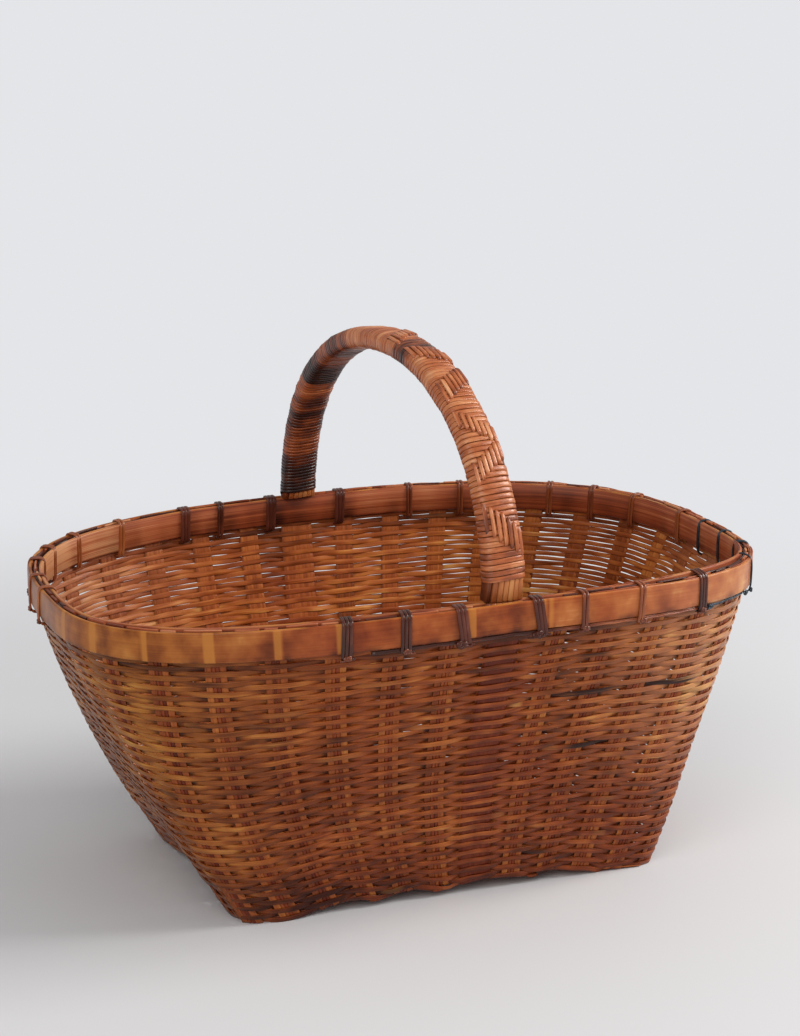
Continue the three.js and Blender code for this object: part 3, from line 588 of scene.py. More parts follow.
def weaverColours(share, row, level, length, offset, draw):
    # Tone and stain at each station, for each corner of the section
    tone = waves(share, 400 + row, (6, 13, 22, 35, 51, 83), weave["toneWaves"])
    tone = draw.normal(0, weave["toneSpread"]) + tone
    flecks = [(draw.uniform(), row, draw.uniform(*weave["fleckHalf"]), draw.choice(weave["fleckStains"]))
              for _ in range(weave["flecksPerRow"])]
    mark = np.zeros(len(share))
    for place, markRow, half, stain in (*flecks, *weave["marks"]):
        if markRow == row:
            # full over the inner half of its length, and gone a little past its end
            away = roundFrom(share, place) * length / half
            mark = mark + stain * np.clip(1.25 - away ** 2, 0, 1)
    for place, spread, high, tall, size in weave["patches"]:
        tone = tone + size * near(share, place, spread) * np.exp(-((level - high) / tall) ** 2)
    place, spread, size = weave["innerPale"]
    change = weave["innerTone"] + size * near(share, place, spread)
    for place, spread, drop, start in weave["innerDark"]:
        rise = min(max((level - start) / weave["innerDarkFade"], 0), 1)
        change = change - drop * near(share, place, spread) * rise
    inner = flatSection[None, :, 1] < 0
    tone = tone[:, None] + change[:, None] * inner
    # painted shade: the outside darkens where the strip dives behind a stake, in the pocket beside it
    sunk = np.clip((-weave["pocketShadeDepth"] - offset) / weave["pocketShadeFade"], 0, 1)
    mark = np.clip(mark, *weave["markRange"])[:, None] * np.where(inner, weave["innerMarks"], 1)
    mark = mark + weave["pocketShade"] * sunk[:, None] * ~inner
    return tone, np.clip(mark, *weave["markRange"])


def weaverStrip(row, draw):
    level = (row + 0.5) / weave["rows"]
    length = roundLengths(level)[-1]
    meet = weave["meetStake"] + draw.integers(0, 3) * 2 + (1 + row) % 2 + weave["phase"]
    stations = weave["stakes"] * weave["stationsPerGap"] + 1
    share = meet / weave["stakes"] + np.linspace(weave["meetGap"], 1 - weave["meetGap"], stations)
    here, up, out, pitch = weaverPath(share, row, level, length)
    offset = weaverOffset(share, row, length)
    fill = weave["fill"] + sum(more * near(share, place, spread)
                               for place, spread, more in weave["fillChanges"])
    uneven = waves(share, 200 + row, (17, 29, 41, 67), weave["widthWaves"])
    uneven = 1 + draw.normal(0, weave["widthSpread"]) + uneven
    wide = unit(up) + out * waves(share, 300 + row, (13, 27, 44), weave["tiltWaves"])[:, None]
    tone, mark = weaverColours(share, row, level, length, offset, draw)
    return strip(here + out * (offset * weave["swing"])[:, None], wide, fill * pitch * uneven / 2,
                 weave["thickness"] / 2, tone=tone, mark=mark, out=out)


def makeWeavers():
    draw = np.random.default_rng(weave["seed"])
    strips = [weaverStrip(row, draw) for row in range(weave["rows"])]
    third = weave["rows"] // 3
    for part, name in enumerate(("wall_weavers_low", "wall_weavers_middle", "wall_weavers_high")):
        addPiece(name, strips[part * third:(part + 1) * third], weaveFinish,
                 ["woven_wall"] if part == 0 else ())


makeWeavers()
print("weavers made")

# wall: stakes

stake = {
    # each stake is one split strip, its skin scored into splints: place across it, width, kind
    "splints": ((-4.45, 4.0, "pale"), (-1.15, 2.0, "red"), (1.15, 2.0, "red"), (4.45, 4.0, "pale")),
    "thickness": 0.74, "legGap": 0.8, "innerGap": 0.15, "innerHalf": 0.15, "bulge": 0.2,
    "topGap": 4, "footTurn": 9, "footHeight": 1.0, "kneeTurn": 2.0, "kneeHeight": 0.1, "seed": 12,
    # tone of the outside and of the inner side, on a common stake and on one that carries the handle
    "tones": (0, -0.4), "toneSpread": 0.6, "innerTones": (0.2, -0.5), "innerToneSpread": 0.4,
}


def stakeStrips():
    # The strips that the stakes show as: number of the stake, place across it, width, kind
    strips = []
    for number in range(weave["stakes"]):
        if number in weave["legStakes"]:
            # the handle runs down in this stake: one plain wide strip
            strips.append((number, 0.0, 2 * (weave["legHalf"] - stake["legGap"]), "red"))
        else:
            strips += [(number, *splint) for splint in stake["splints"]]
    for number in range(weave["stakes"]):
        half = weave["legHalf"] if number in weave["legStakes"] else weave["stakeHalf"]
        strips.append((number, 0.0, 2 * (half - stake["innerGap"]), "inner"))
    return strips


def stakeLines(numbers, across):
    # Stations of each strip from its foot to the rim, and the way out of the wall at each
    rows = weave["rows"]
    middle = (numbers + weave["phase"]) / weave["stakes"]
    top = (form["rimHeight"] - stake["topGap"]) / wallHeight
    levels = np.concatenate([[0.0], (np.arange(2 * rows) + 0.5) / (2 * rows),
                             np.linspace(1.0, top, 5)])
    points, outs = [], []
    for level in levels:
        capped = min(level, 1.0)
        lengths = roundLengths(capped)
        angle = np.interp((middle * lengths[-1] + across) % lengths[-1], lengths, fineAngles)
        here, _, out = wallFrame(angle, capped)
        if level > 1:
            here = here + upright * ((level - 1) * wallHeight)
        else:
            # a stake bulges out where the weaver runs behind it
            side = np.cos(math.pi * (numbers + level * rows - 0.5))
            here = here - out * (stake["bulge"] * side)[:, None]
        points.append(here)
        outs.append(out)
    points, outs = np.array(points), np.array(outs)
    # the foot of each splint turns in under the base
    flat = outs[0] * [1, 1, 0]
    foot = points[0] - flat * stake["footTurn"] + upright * stake["footHeight"]
    knee = points[0] - flat * stake["kneeTurn"] + upright * stake["kneeHeight"]
    points = np.concatenate([foot[None], knee[None], points[1:]])
    outs = np.concatenate([outs[:1] * 0 - upright, unit(outs[:1] - 0.8 * upright), outs[1:]])
    return points, outs


def makeStakes():
    draw = np.random.default_rng(stake["seed"])
    strips = stakeStrips()
    points, outs = stakeLines(*(np.array([s[i] for s in strips]) for i in (0, 1)))
    made = {"pale": [], "red": [], "inner": []}
    for i, (number, _, width, kind) in enumerate(strips):
        leg = number in weave["legStakes"]
        centre, out = points[:, i], outs[:, i]
        wide = np.cross(unit(np.gradient(centre, axis=0)), out)
        end = len(centre) - int(draw.integers(0, 2))
        if kind == "inner":
            half = stake["innerHalf"]
            centre = centre - out * (stake["thickness"] / 2)
            tone = draw.normal(stake["innerTones"][leg], stake["innerToneSpread"])
        else:
            half = stake["thickness"] / 2
            tone = draw.normal(stake["tones"][leg], stake["toneSpread"])
            if not leg:
                tone = tone + waves(np.linspace(0, 1, end), int(draw.integers(1e6)), (3, 7, 13),
                                    stake["toneSpread"])
        made[kind].append(strip(centre[:end], wide[:end], width / 2, half, tone=tone, out=out[:end]))
    addPiece("wall_stakes_pale_splints", made["pale"], stakeFinish)
    addPiece("wall_stakes_red_splints", made["red"], redFinish)
    addPiece("wall_stakes_inner_side", made["inner"], weaveFinish)


makeStakes()
print("stakes made")

# rim bands

rim = {
    "stations": 1200, "lapShare": 0.025, "lapTip": 0.6, "lapGap": 0.1, "unevenness": 0.12,
    "toneWaves": 0.5,
    # start is where the band's lap lies, bright is size, place and half length of lighter stretches
    # and, below zero, of darker ones, and stripes are pale bars where a former tie kept the light off:
    # place and width
    "bands": {
        "outer_band": {"node": "outer_rim_band", "inset": 0, "start": 0.8875, "crown": 0.35,
                       "bright": ((0.7, 0.89, 110), (-1.4, 0.7575, 17), (0.7, 0.692, 26)),
                       "stripes": ((0.5331, 6), (0.5592, 7), (0.5899, 5), (0.6206, 7), (0.6513, 6),
                                   (0.6804, 7), (0.7426, 6), (0.7790, 3), (0.7825, 3))},
        "inner_band": {"node": "inner_rim_band", "inset": form["innerBandInset"], "start": 0.3682,
                       "crown": 0.1, "bright": ((1.7, 0.43, 150),), "stripes": ()},
    },
    "stripeEdge": 0.8, "stripeDepth": 0.72,
    # the inner band stands higher than the outer one where the basket's front opens: place, height
    "innerRise": ((0, 0), (0.53, 0), (0.58, 1.2), (0.71, 1.2), (0.735, 0.4), (0.775, 0.0), (0.80, 0.5),
                  (0.83, 1.1), (0.868, 2.8), (0.905, 3.0), (0.935, 1.6), (0.965, 0), (1, 0)),
    # where the paler top edge, rubbed and with a painted highlight, and the grimy lower edge start, in
    # shares of half the height, and the most that the pale top, grime and scattered dirt come to
    "rubbedAndHighlightStart": 0.9, "grimyStart": 0.55, "mostRubbedAndHighlight": 0.9, "mostGrimy": 0.8, "mostDirt": 0.4,
    # dirt beside the ties: place, strength
    "stains": ((0.6835, 0.35), (0.7111, 0.35), (0.7374, 0.8), (0.7265, 0.3), (0.7510, 0.8),
               (0.7660, 0.7), (0.7775, 0.75), (0.6500, 0.3), (0.8001, 0.35), (0.8440, 0.3),
               (0.2366, 0.6), (0.2757, 0.7), (0.2612, 0.6), (0.3245, 0.6), (0.3045, 0.5),
               (0.3628, 0.35), (0.1665, 0.4)),
    "stainHalf": 9, "grimyPlace": 0.715, "grimyHalf": 65,
}


def innerRise(share):
    # a mean over a short stretch, which rounds the corners of the steps
    places, heights = zip(*rim["innerRise"])
    return sum(np.interp((share + shift) % 1, places, heights) for shift in (-0.008, 0, 0.008)) / 3


def bandSection(height, thick, crown):
    # Upright band with rounded edges: its outer face is the culm's skin, slightly crowned
    h, t, r = height / 2, thick / 2, min(0.9, thick * 0.4)
    return np.array([(-h + r, t), (-h + 2.4, t + crown * 0.3), (-h * 0.5, t + crown * 0.75), (0, t + crown),
                     (h * 0.5, t + crown * 0.75), (h - 2, t + crown * 0.3), (h - r, t),
                     (h - r * 0.3, t - r * 0.3), (h, t - r), (h, -t + r),
                     (h - r, -t), (-h + r, -t), (-h, -t + r), (-h, t - r), (-h + r * 0.3, t - r * 0.3)])


def bandMarks(share, high, stripes):
    # Dirt gathers beside the ties and along the lower edge, and the top edge is paler: rubbed, and a
    # painted highlight along it
    stain = np.clip(waves(share, 34, (9, 17, 29, 43), 0.15), 0, rim["mostDirt"])
    for place, size in rim["stains"]:
        stain = np.maximum(stain, size * near(share, place, rim["stainHalf"], rimLength))
    # the top edge is paler: rubbed, and a painted highlight along it
    upper, lower = (np.clip((side * high - edge) / (1 - edge), 0, 1)
                    for side, edge in ((1, rim["rubbedAndHighlightStart"]), (-1, rim["grimyStart"])))
    rubbedAndHighlight = np.clip(0.35 + waves(share, 35, (9, 19, 37, 61), 0.5), 0, rim["mostRubbedAndHighlight"])
    grimy = 0.5 * near(share, rim["grimyPlace"], rim["grimyHalf"], rimLength)
    grimy = np.clip(waves(share, 36, (13, 29, 47, 71), 0.6) + grimy, 0, rim["mostGrimy"])
    mark = stain[:, None] * (0.75 - 0.25 * high)[None] * (1 - upper)
    mark = mark - upper * rubbedAndHighlight[:, None] + lower * grimy[:, None]
    for place, width in stripes:
        wander = waves(share, int(place * 1000), (40, 90), 0.3)
        away = np.abs(roundFrom(share, place)) * rimLength
        bar = np.clip((width / 2 + wander - away) / rim["stripeEdge"], 0, 1)[:, None]
        bar = bar * rim["stripeDepth"]
        mark = mark * (1 - bar) - bar
    return mark


def makeBand(name, finish):
    settings = rim["bands"][name]
    thick, height = form["bandThickness"], form["bandHeight"]
    part = np.linspace(0, 1 + rim["lapShare"], rim["stations"])
    share = settings["start"] + part
    # the band's two ends lie over each other, each shaved to a thin tip
    seams = [np.interp(p, (0, rim["lapShare"]), (thick - rim["lapTip"], rim["lapTip"]))
             for p in (part, part - 1)]
    outerFace = np.where(part < rim["lapShare"], seams[0] + rim["lapGap"], 0)
    innerFace = np.where(part > 1, seams[1] - rim["lapGap"], thick)
    angle = angleAt(share, 1.0, 0)
    middle = settings["inset"] + (outerFace + innerFace) / 2
    here = bandPoint(angle, middle, -height / 2)
    run = bandPoint(angle + 1e-3, middle, 0) - bandPoint(angle - 1e-3, middle, 0)
    out = unit(np.cross(run, upright))
    here = here + out * waves(share, 31, (7, 12, 19, 33), rim["unevenness"])[:, None]
    here = here + upright * waves(share, 32, (5, 9, 16), rim["unevenness"])[:, None]
    if settings["inset"] > 0:
        here = here + upright * innerRise(share)[:, None]
    section = bandSection(height, thick, settings["crown"]) / [height / 2, thick / 2]
    tone = sum(size * near(share, place, half, rimLength) for size, place, half in settings["bright"])
    made = strip(here, upright, height / 2, (innerFace - outerFace) / 2, section=section, out=out,
                 tone=tone + waves(share, 33, (2, 5, 9, 31, 53), rim["toneWaves"]),
                 mark=bandMarks(share, section[:, 0], settings["stripes"]))
    addPiece(name, [made], finish, [settings["node"]])


makeBand("outer_band", bandFinish)
makeBand("inner_band", splitFinish)
print("rim bands made")

# channel between the bands

channel = {
    # dark strands: how far in from the outer band's face, how far above the rim's top, radius
    "strands": ((3.75, -2.0, 0.9), (5.35, -2.6, 0.8)), "strandTone": -1.9, "strandSway": 0.25,
    # room on each side of the handle's legs, which stand at these shares of the way round
    "room": 16.5, "legs": {"front": 0.7612, "back": 0.2612}, "stationsPerRound": 420,
    # splinters on the bands' edges: their lengths are shares of the way round, and their tone is a
    # mean and a spread
    "splinters": 46, "splinterInsets": (0.5, 1.6, 2.4, 7.0, 8.0), "splinterHeights": (-0.2, 0.25),
    "splinterLengths": (0.008, 0.035), "splinterRadius": 0.45, "splinterTone": (0.6, 0.9),
    "splinterLift": 0.9,
    # stake tips: from the least to the greatest in millimetres, or the tones to choose from
    "tipLengths": (7, 26), "tipGaps": (0, 8), "tipInsets": (3.5, 4.8), "tipHeights": (-0.55, 0.35),
    "tipHalfWidth": 0.8, "tipHalfThickness": (0.6, 0.95), "tipTones": (-2.6, -1.4, 0.8, 1.6),
}


def alongRim(start, end, inset, above, seed, sway, follow=0.0):
    # Path beside the rim, from one share of the way round to another; follow is the share of the
    # inner band's rise that it takes
    share = np.linspace(start, end, int((end - start) * channel["stationsPerRound"]) + 8)
    here = bandPoint(angleAt(share, 1.0, 0), inset, above)
    run = unit(np.gradient(here, axis=0))
    out = unit(np.cross(run, upright))
    up = waves(share, seed + 1, (23, 41, 83), sway) + follow * innerRise(share)
    return here + out * waves(share, seed, (31, 47, 71), sway)[:, None] + upright * up[:, None]


def makeChannel():
    room = channel["room"] / rimLength
    front, back = channel["legs"]["front"], channel["legs"]["back"]
    for side, start, end in (("left", back + room, front - room),
                             ("right", front + room, back + 1 - room)):
        # the second strand lies beside the inner band and rises with it
        strips = [strip(alongRim(start, end, inset, above, 41 + i, channel["strandSway"], 0.8 * i),
                        upright, radius, radius, section=roundSection, tone=channel["strandTone"])
                  for i, (inset, above, radius) in enumerate(channel["strands"])]
        addPiece(f"channel_strands_{side}", strips, brownCaneFinish,
                 [f"rim_filler_{side}"])


def makeSplinters():
    # fibres torn up along the cut top edges of both bands, most of them round the right end
    draw = np.random.default_rng(45)
    strips = []
    for _ in range(channel["splinters"]):
        start = 0.75 + 0.5 * draw.beta(2.2, 2.0)
        long = draw.uniform(*channel["splinterLengths"])
        inset = draw.choice(channel["splinterInsets"])
        path = alongRim(start, start + long, inset, draw.uniform(*channel["splinterHeights"]),
                        draw.integers(1e6), 0.12, 1.0 if inset > form["innerBandInset"] else 0.0)
        t = np.linspace(-1, 1, len(path))
        radius = channel["splinterRadius"] * np.sqrt(np.clip(1 - t ** 2, 0.02, 1))
        # the last quarter stands up off the edge
        path = path + upright * (channel["splinterLift"] * np.clip(t - 0.5, 0, 1) ** 2)[:, None]
        strips.append(strip(path, upright, radius, radius, section=roundSection,
                            tone=draw.normal(*channel["splinterTone"])))
    addPiece("rim_edge_splinters", strips, splitFinish)


def makeStakeTips():
    # the stakes' ends are cut, bent over and laid along the channel in short flat pieces
    draw = np.random.default_rng(46)
    strips = []
    share = 0.0
    while share < 1:
        long = draw.uniform(*channel["tipLengths"]) / rimLength
        clear = min(abs(share + long / 2 - leg) for leg in channel["legs"].values())
        if clear > channel["room"] / rimLength + long / 2:
            path = alongRim(share, share + long, draw.uniform(*channel["tipInsets"]),
                            draw.uniform(*channel["tipHeights"]), draw.integers(1e6), 0.1)
            strips.append(strip(path, upright, channel["tipHalfWidth"],
                                draw.uniform(*channel["tipHalfThickness"]),
                                tone=draw.choice(channel["tipTones"]) + draw.normal(0, 0.3)))
        share += long + draw.uniform(*channel["tipGaps"]) / rimLength
    addPiece("channel_stake_tips", strips, splitFinish)


makeChannel()
makeSplinters()
makeStakeTips()

# strand under the outer band

underStrand = {
    "start": 0.6942, "end": 0.8668, "inset": 1.35, "above": -19.8, "halfWidth": 1.0,
    "halfThickness": 0.8, "twists": 4.5, "twistHalfWidth": 0.75, "twistHalfThickness": 0.5,
    "twistPlace": (0, -0.5, -0.6),
    # dark on the left of the handle, rubbed on the right of it: share of its length, tone
    "tones": ((0, -1.8), (0.5, -1.6), (0.65, -0.1), (1, 0.3)),
}


def makeUnderStrand():
    # a flat strand, with a thinner one twisted beside it
    path = alongRim(underStrand["start"], underStrand["end"], underStrand["inset"],
                    underStrand["above"], 51, 0.18)
    along = np.linspace(0, 1, len(path))
    tone = np.interp(along, *zip(*underStrand["tones"]))
    turn = along[:, None] * tau * underStrand["twists"]
    wide = upright * np.cos(turn) + np.array([0, 1.0, 0]) * np.sin(turn)
    strips = [strip(path, upright, underStrand["halfWidth"], underStrand["halfThickness"],
                    section=softSection, tone=tone),
              strip(path + underStrand["twistPlace"], wide, underStrand["twistHalfWidth"],
                    underStrand["twistHalfThickness"], section=softSection, tone=tone + 0.3)]
    addPiece("under_band_strand", strips, brownCaneFinish, ["under_rim_strand"])


makeUnderStrand()
print("channel made")

# ties round the rim

ties = {
    # narrow ties of brown cane: share of the way round, tone, turns
    "brown": ((0.0192, 0.4, 2), (0.0614, 0.4, 2), (0.0898, 0.2, 2), (0.1151, 0.2, 2), (0.1665, 0.2, 2),
              (0.1964, 0.2, 2), (0.3045, -1.2, 2), (0.3628, 0.5, 2), (0.3935, 0.6, 2),
              (0.4173, 0.4, 2), (0.4388, 0.2, 2), (0.4687, 0.2, 2), (0.4917, 0.0, 2),
              (0.6835, -1.5, 3), (0.7111, -1.5, 3), (0.8001, 0.3, 2), (0.8315, 0.4, 2),
              (0.8684, -1.2, 3)),
    "widePlace": 0.3245, "wideTurns": 3,
    "lashings": {"back_right": 0.2366, "back_left": 0.2757, "front_left": 0.7374, "front_right": 0.7758},
    "lashingTurns": 3, "frontLean": -1.5,
    # repair wire: share of the way round, turns
    "wires": ((0.9175, 1), (0.9489, 3), (0.9727, 2), (0.9957, 2)),
    # wire under the band, between two knots: share, knot's size, radius and how far it is raised
    "wireRun": ((0.8730, 1.6, 0.6, 1.0), (0.9067, 1.7, 0.6, 1.4)), "runInset": 1.3,
    "runAbove": -20.0, "runRadius": 0.7,
    "caneWidth": 2.35, "brownWidth": 2.1, "caneThickness": 1.25, "wireWidth": 1.15,
    "standOff": 0.85, "drop": 4.0, "stationsPerLoop": 44, "caneRoundness": 5.0, "wireRoundness": 3.6,
    "brownGap": 0.25, "tightGap": -0.02, "startTurn": 0.9, "leanSpread": 0.4, "wander": 0.22,
    "slipSpread": 0.1, "toneSpread": 0.4,
    # added to the loops' stand-off above the rim's top, and to their whole height
    "aboveRim": 0.2, "tallerLoop": 0.6,
    # size of a knot and radius of its strand, length and radius of a tail
    "brownKnot": (1.4, 0.85), "brownTail": (5, 0.8), "wideKnot": (2.2, 1),
    "lashingKnot": (2.1, 1.15), "lashingTail": (7, 0.9), "wireKnot": (1.3, 0.6),
    # a knot lies this far below the outer band; its depth, width and height are shares of its size
    "knotDrop": 2.6, "knotShape": (0.32, 0.5, 0.27), "knotOut": 0.9, "knotTone": -0.3, "tailTone": -0.2,
}
rimDepth = form["innerBandInset"] + form["bandThickness"]


def rimFrame(share):
    # The rim's outer top edge at a share of the way round, the way along it and the way out of it
    here = bandPoint(angleAt(np.array([share]), 1.0, 0), 0, 0)[0]
    step = 3 / rimLength
    ends = bandPoint(angleAt(np.array([share - step, share + step]), 1.0, 0), 0, 0)
    along = unit(ends[1] - ends[0])
    return here, along, unit(np.array([along[1], -along[0], 0]))


def tieLoops(share, loops, width, thickness, seed, tone=0.0, roundness=ties["caneRoundness"], lean=0.0,
             gap=ties["tightGap"]):
    # Cane wound round both bands; it starts and ends in the knot below the outer band
    draw = np.random.default_rng(seed)
    here, along, out = rimFrame(share)
    count = loops * ties["stationsPerLoop"] + 1
    turn = np.linspace(0, loops * tau, count) - ties["startTurn"]
    off = ties["standOff"] - (ties["caneThickness"] - thickness) * 0.3
    halfDepth = (rimDepth + 2 * off) / 2
    halfHeight = (form["bandHeight"] + ties["drop"] + off + ties["tallerLoop"]) / 2
    across = off - halfDepth + halfDepth * rounded(np.cos(turn), 2 / roundness)
    up = off + ties["aboveRim"] - halfHeight + halfHeight * rounded(np.sin(turn), 2 / roundness)
    # the loops lie side by side, and lean and wander a little
    lean = lean + draw.normal(0, ties["leanSpread"])
    shift = np.linspace(-0.5, 0.5, count) * loops * (width + gap) + lean * up / halfHeight
    shift = shift + ties["wander"] * np.sin(turn + draw.uniform(0, 6))
    shift = shift + draw.normal(0, ties["slipSpread"])
    # it follows the inner band where that stands higher
    inward = np.clip((off - across) / (2 * halfDepth), 0, 1)
    up = up + innerRise(share) * inward * np.clip(1 + up / 20, 0, 1)
    path = here + out * across[:, None] + along * shift[:, None] + upright * up[:, None]
    # spaced evenly, because the corners bunch the stations
    lengths = lengthsAlong(path)
    even = np.linspace(0, lengths[-1], count)
    path = np.stack([np.interp(even, lengths, path[:, i]) for i in range(3)], 1)
    outs = path - (here + out * (off - halfDepth) + upright * (off - halfHeight))
    return strip(path, along, width / 2, thickness / 2, section=softSection,
                 tone=tone + draw.normal(0, ties["toneSpread"]), out=outs)


def knot(share, size, radius, seed, raised=0.0):
    # The strand's end tucked through itself under the outer band
    draw = np.random.default_rng(seed)
    here, along, out = rimFrame(share)
    turn = np.linspace(0, tau, 61)[:-1]
    turn = np.concatenate([turn, turn[:1] + tau - 0.05])
    wave = draw.uniform(0, 6)
    deep, wide, tall = (size * part for part in ties["knotShape"])
    lobes = 2 + np.cos(3 * turn + wave)
    middle = here + out * ties["knotOut"] - upright * (form["bandHeight"] + ties["knotDrop"] - raised)
    path = (middle + out * (deep * np.sin(3 * turn + wave))[:, None]
            + along * (wide * lobes * np.cos(2 * turn))[:, None]
            + upright * (tall * lobes * np.sin(2 * turn))[:, None])
    return strip(path, along + [0, 0, 0.3], radius, radius * 0.8, section=softSection,
                 tone=ties["knotTone"], out=path - middle)


def tieTail(share, length, radius, seed):
    # A short end that lies along the wall under the band
    draw = np.random.default_rng(seed)
    here, along, out = rimFrame(share)
    t = np.linspace(0, 1, 9)[:, None]
    side = 1 if draw.uniform() > 0.4 else -1
    path = (here + out * (1.2 - 0.6 * t) + along * (side * length * t)
            - upright * (form["bandHeight"] + ties["knotDrop"] + 1.6 * np.sin(t * 2.2)))
    return strip(path, upright, radius * (1 - 0.5 * t[:, 0]), radius * 0.6, section=softSection,
                 tone=ties["tailTone"])


def makeTies():
    width, thick = ties["caneWidth"], ties["caneThickness"]
    for i, (share, tone, turns) in enumerate(ties["brown"]):
        strips = [tieLoops(share, turns, ties["brownWidth"], thick, 500 + i, tone, gap=ties["brownGap"]),
                  knot(share, *ties["brownKnot"], 600 + i), tieTail(share, *ties["brownTail"], 650 + i)]
        addPiece(f"brown_tie_{i + 1}", strips, brownCaneFinish, [f"rim_tie_{i + 1}"])
    strips = [tieLoops(ties["widePlace"], ties["wideTurns"], width, thick, 700),
              knot(ties["widePlace"], *ties["wideKnot"], 701)]
    addPiece("dark_tie_wide", strips, darkCaneFinish, ["rim_tie_wide"])
    for i, (side, share) in enumerate(ties["lashings"].items()):
        lean = ties["frontLean"] if "front" in side else 0.0
        strips = [tieLoops(share, ties["lashingTurns"], width, thick, 710 + i, 0.1, lean=lean),
                  knot(share, *ties["lashingKnot"], 720 + i),
                  tieTail(share, *ties["lashingTail"], 730 + i)]
        addPiece(f"lashing_{side}", strips, darkCaneFinish, [f"handle_lashing_{side}"])


def makeWires():
    start, end = (knotted[0] for knotted in ties["wireRun"])
    strips = [strip(alongRim(start, end, ties["runInset"], ties["runAbove"], 53, 0.3), upright,
                    ties["runRadius"], ties["runRadius"], section=roundSection)]
    strips += [knot(share, size, radius, 754 + i, raised)
               for i, (share, size, radius, raised) in enumerate(ties["wireRun"])]
    addPiece("under_band_wire", strips, wireFinish, ["under_rim_wire"])
    for i, (share, turns) in enumerate(ties["wires"]):
        size = ties["wireWidth"]
        strips = [tieLoops(share, turns, size, size, 740 + i, roundness=ties["wireRoundness"]),
                  knot(share, *ties["wireKnot"], 750 + i)]
        addPiece(f"wire_binding_{i + 1}", strips, wireFinish, [f"repair_wire_{i + 1}"])


makeTies()
makeWires()
print("ties made")

# handle

arch = {
    "halfSpan": 146, "spring": 200, "rise": 142, "powerAcross": 2.12, "powerUp": 2.22, "lean": 6.7,
    "footShift": 16, "lowest": 201,
    # the bundle of splints, one tone for each of them; it is deeper and wider at its front foot, which
    # fades between these places
    "depth": 11.8, "footDepth": 12.7, "footDepthPlaces": (6, 20), "footPitchPlaces": (4, 14),
    "footSlide": 2.2, "bundleGap": 2, "bundleStations": 90, "tongueHalf": 1.3, "tongueLength": 16,
    "splintPitch": 3.24, "splintPitchFoot": 3.5, "splintShare": 0.945, "splintSunk": 0.3,
    "outerShallower": 0.3,
    # the first, leftmost splint is dark as painted shade on the bundle's left side
    "splintTones": (-2.2, -0.4, 0.6, 0.7, 1.4, 0.5, 0.2),
    "frontWrapStart": 223.5, "backWrapEnd": 213.5, "wrapHalfWidth": 12.1, "wrapFlare": 1.5,
    "flareLength": 75, "wrapHalfDepth": 6.8, "wrapCorner": 3.0, "wrapSlant": 1.3,
    "wrapThickness": 1.15, "wrapFill": 0.97, "wrapStart": 0.6,
    # by how much single turns differ: along the handle, away from it, in tone
    "turnSpreads": (0.12, 0.16, 0.5),
    # pitch of the wrapping cane by place along the handle, in millimetres from the front foot
    "pitches": ((0, 3.35), (205, 3.3), (235, 2.7), (300, 2.5), (425, 2.3)),
    "stationsPerTurn": 18,
    # herringbone patches, each of seven floats side by side: place, slant across the handle, half length
    "patches": ((28, -0.69, 9.2), (69, 0.70, 7.0), (92.5, -0.65, 6.3), (128, 0.68, 8.6),
                (161.5, -0.55, 7.6), (196, 0.72, 7.0)),
    "floats": 7, "floatPitch": 3.35, "floatHalfWidth": 1.4, "floatHalfThickness": 0.6,
    "floatTones": ((20, -0.2), (95, 0.5), (200, 0.1)), "floatToneSpread": 0.4, "floatSink": 1.5,
    # a float from its middle to its ends: share of its half length, then tone or share of its width; the
    # tone darkens the ends, where they dive under, as painted shade
    "floatShades": ((0, 0.8), (0.6, 0.6), (1, -0.6)), "floatTaper": ((0, 1), (0.7, 0.95), (1, 0.7)),
    # place, tone, stain: the wrapping's colour zones; the lightest, from about 60 to 135 mm, is partly
    # a painted highlight
    "zones": ((0, 0.3, 0), (18, 0.5, 0), (60, 0.9, 0), (95, 1.2, 0), (135, 0.9, 0), (165, 0.6, 0),
              (173, -0.9, 0), (184, -0.9, 0), (188, 0.8, 0), (206, 1.0, 0), (218, 0.4, 0), (232, 0.9, 0),
              (252, 0.6, 0), (257, -1.1, 0), (268, -1.4, 0), (284, -1.3, 0), (288, 0.0, 0), (299, -0.1, 0),
              (302, -1.4, 0.1), (309, -1.7, 0.4), (311, -2, 1), (327, -2, 1), (329, 0.4, 0),
              (346, 0.1, 0), (349, -1.5, 0), (376, -1.3, 0), (380, -1.0, 0), (402, -1.4, 0),
              (405, -2, 1), (430, -2, 1)),
}
acrossHandle = unit(np.array([arch["halfSpan"], arch["footShift"], 0.0]))


def archPoint(turn):
    across = -rounded(np.cos(turn), 2 / arch["powerAcross"])
    up = np.abs(np.sin(turn)) ** (2 / arch["powerUp"])
    y = across * arch["halfSpan"] + arch["lean"] * up
    return np.stack([-arch["footShift"] * y / arch["halfSpan"], y,
                     arch["spring"] + arch["rise"] * up], -1)


def archTurn(height):
    return math.asin(((height - arch["spring"]) / arch["rise"]) ** (arch["powerUp"] / 2))


# places along the handle count from the start of its wrapping at the front
archTurns = np.linspace(archTurn(arch["lowest"]), math.pi - archTurn(arch["lowest"]), 4001)
archLengths = lengthsAlong(archPoint(archTurns))
archLengths = archLengths - np.interp(archTurn(arch["frontWrapStart"]), archTurns, archLengths)
wrapEnd = float(np.interp(math.pi - archTurn(arch["backWrapEnd"]), archTurns, archLengths))


def handleFrame(place):
    turn = np.interp(place, archLengths, archTurns)
    along = unit(archPoint(turn + 1e-3) - archPoint(turn - 1e-3))
    return archPoint(turn), along, unit(np.cross(acrossHandle, along))


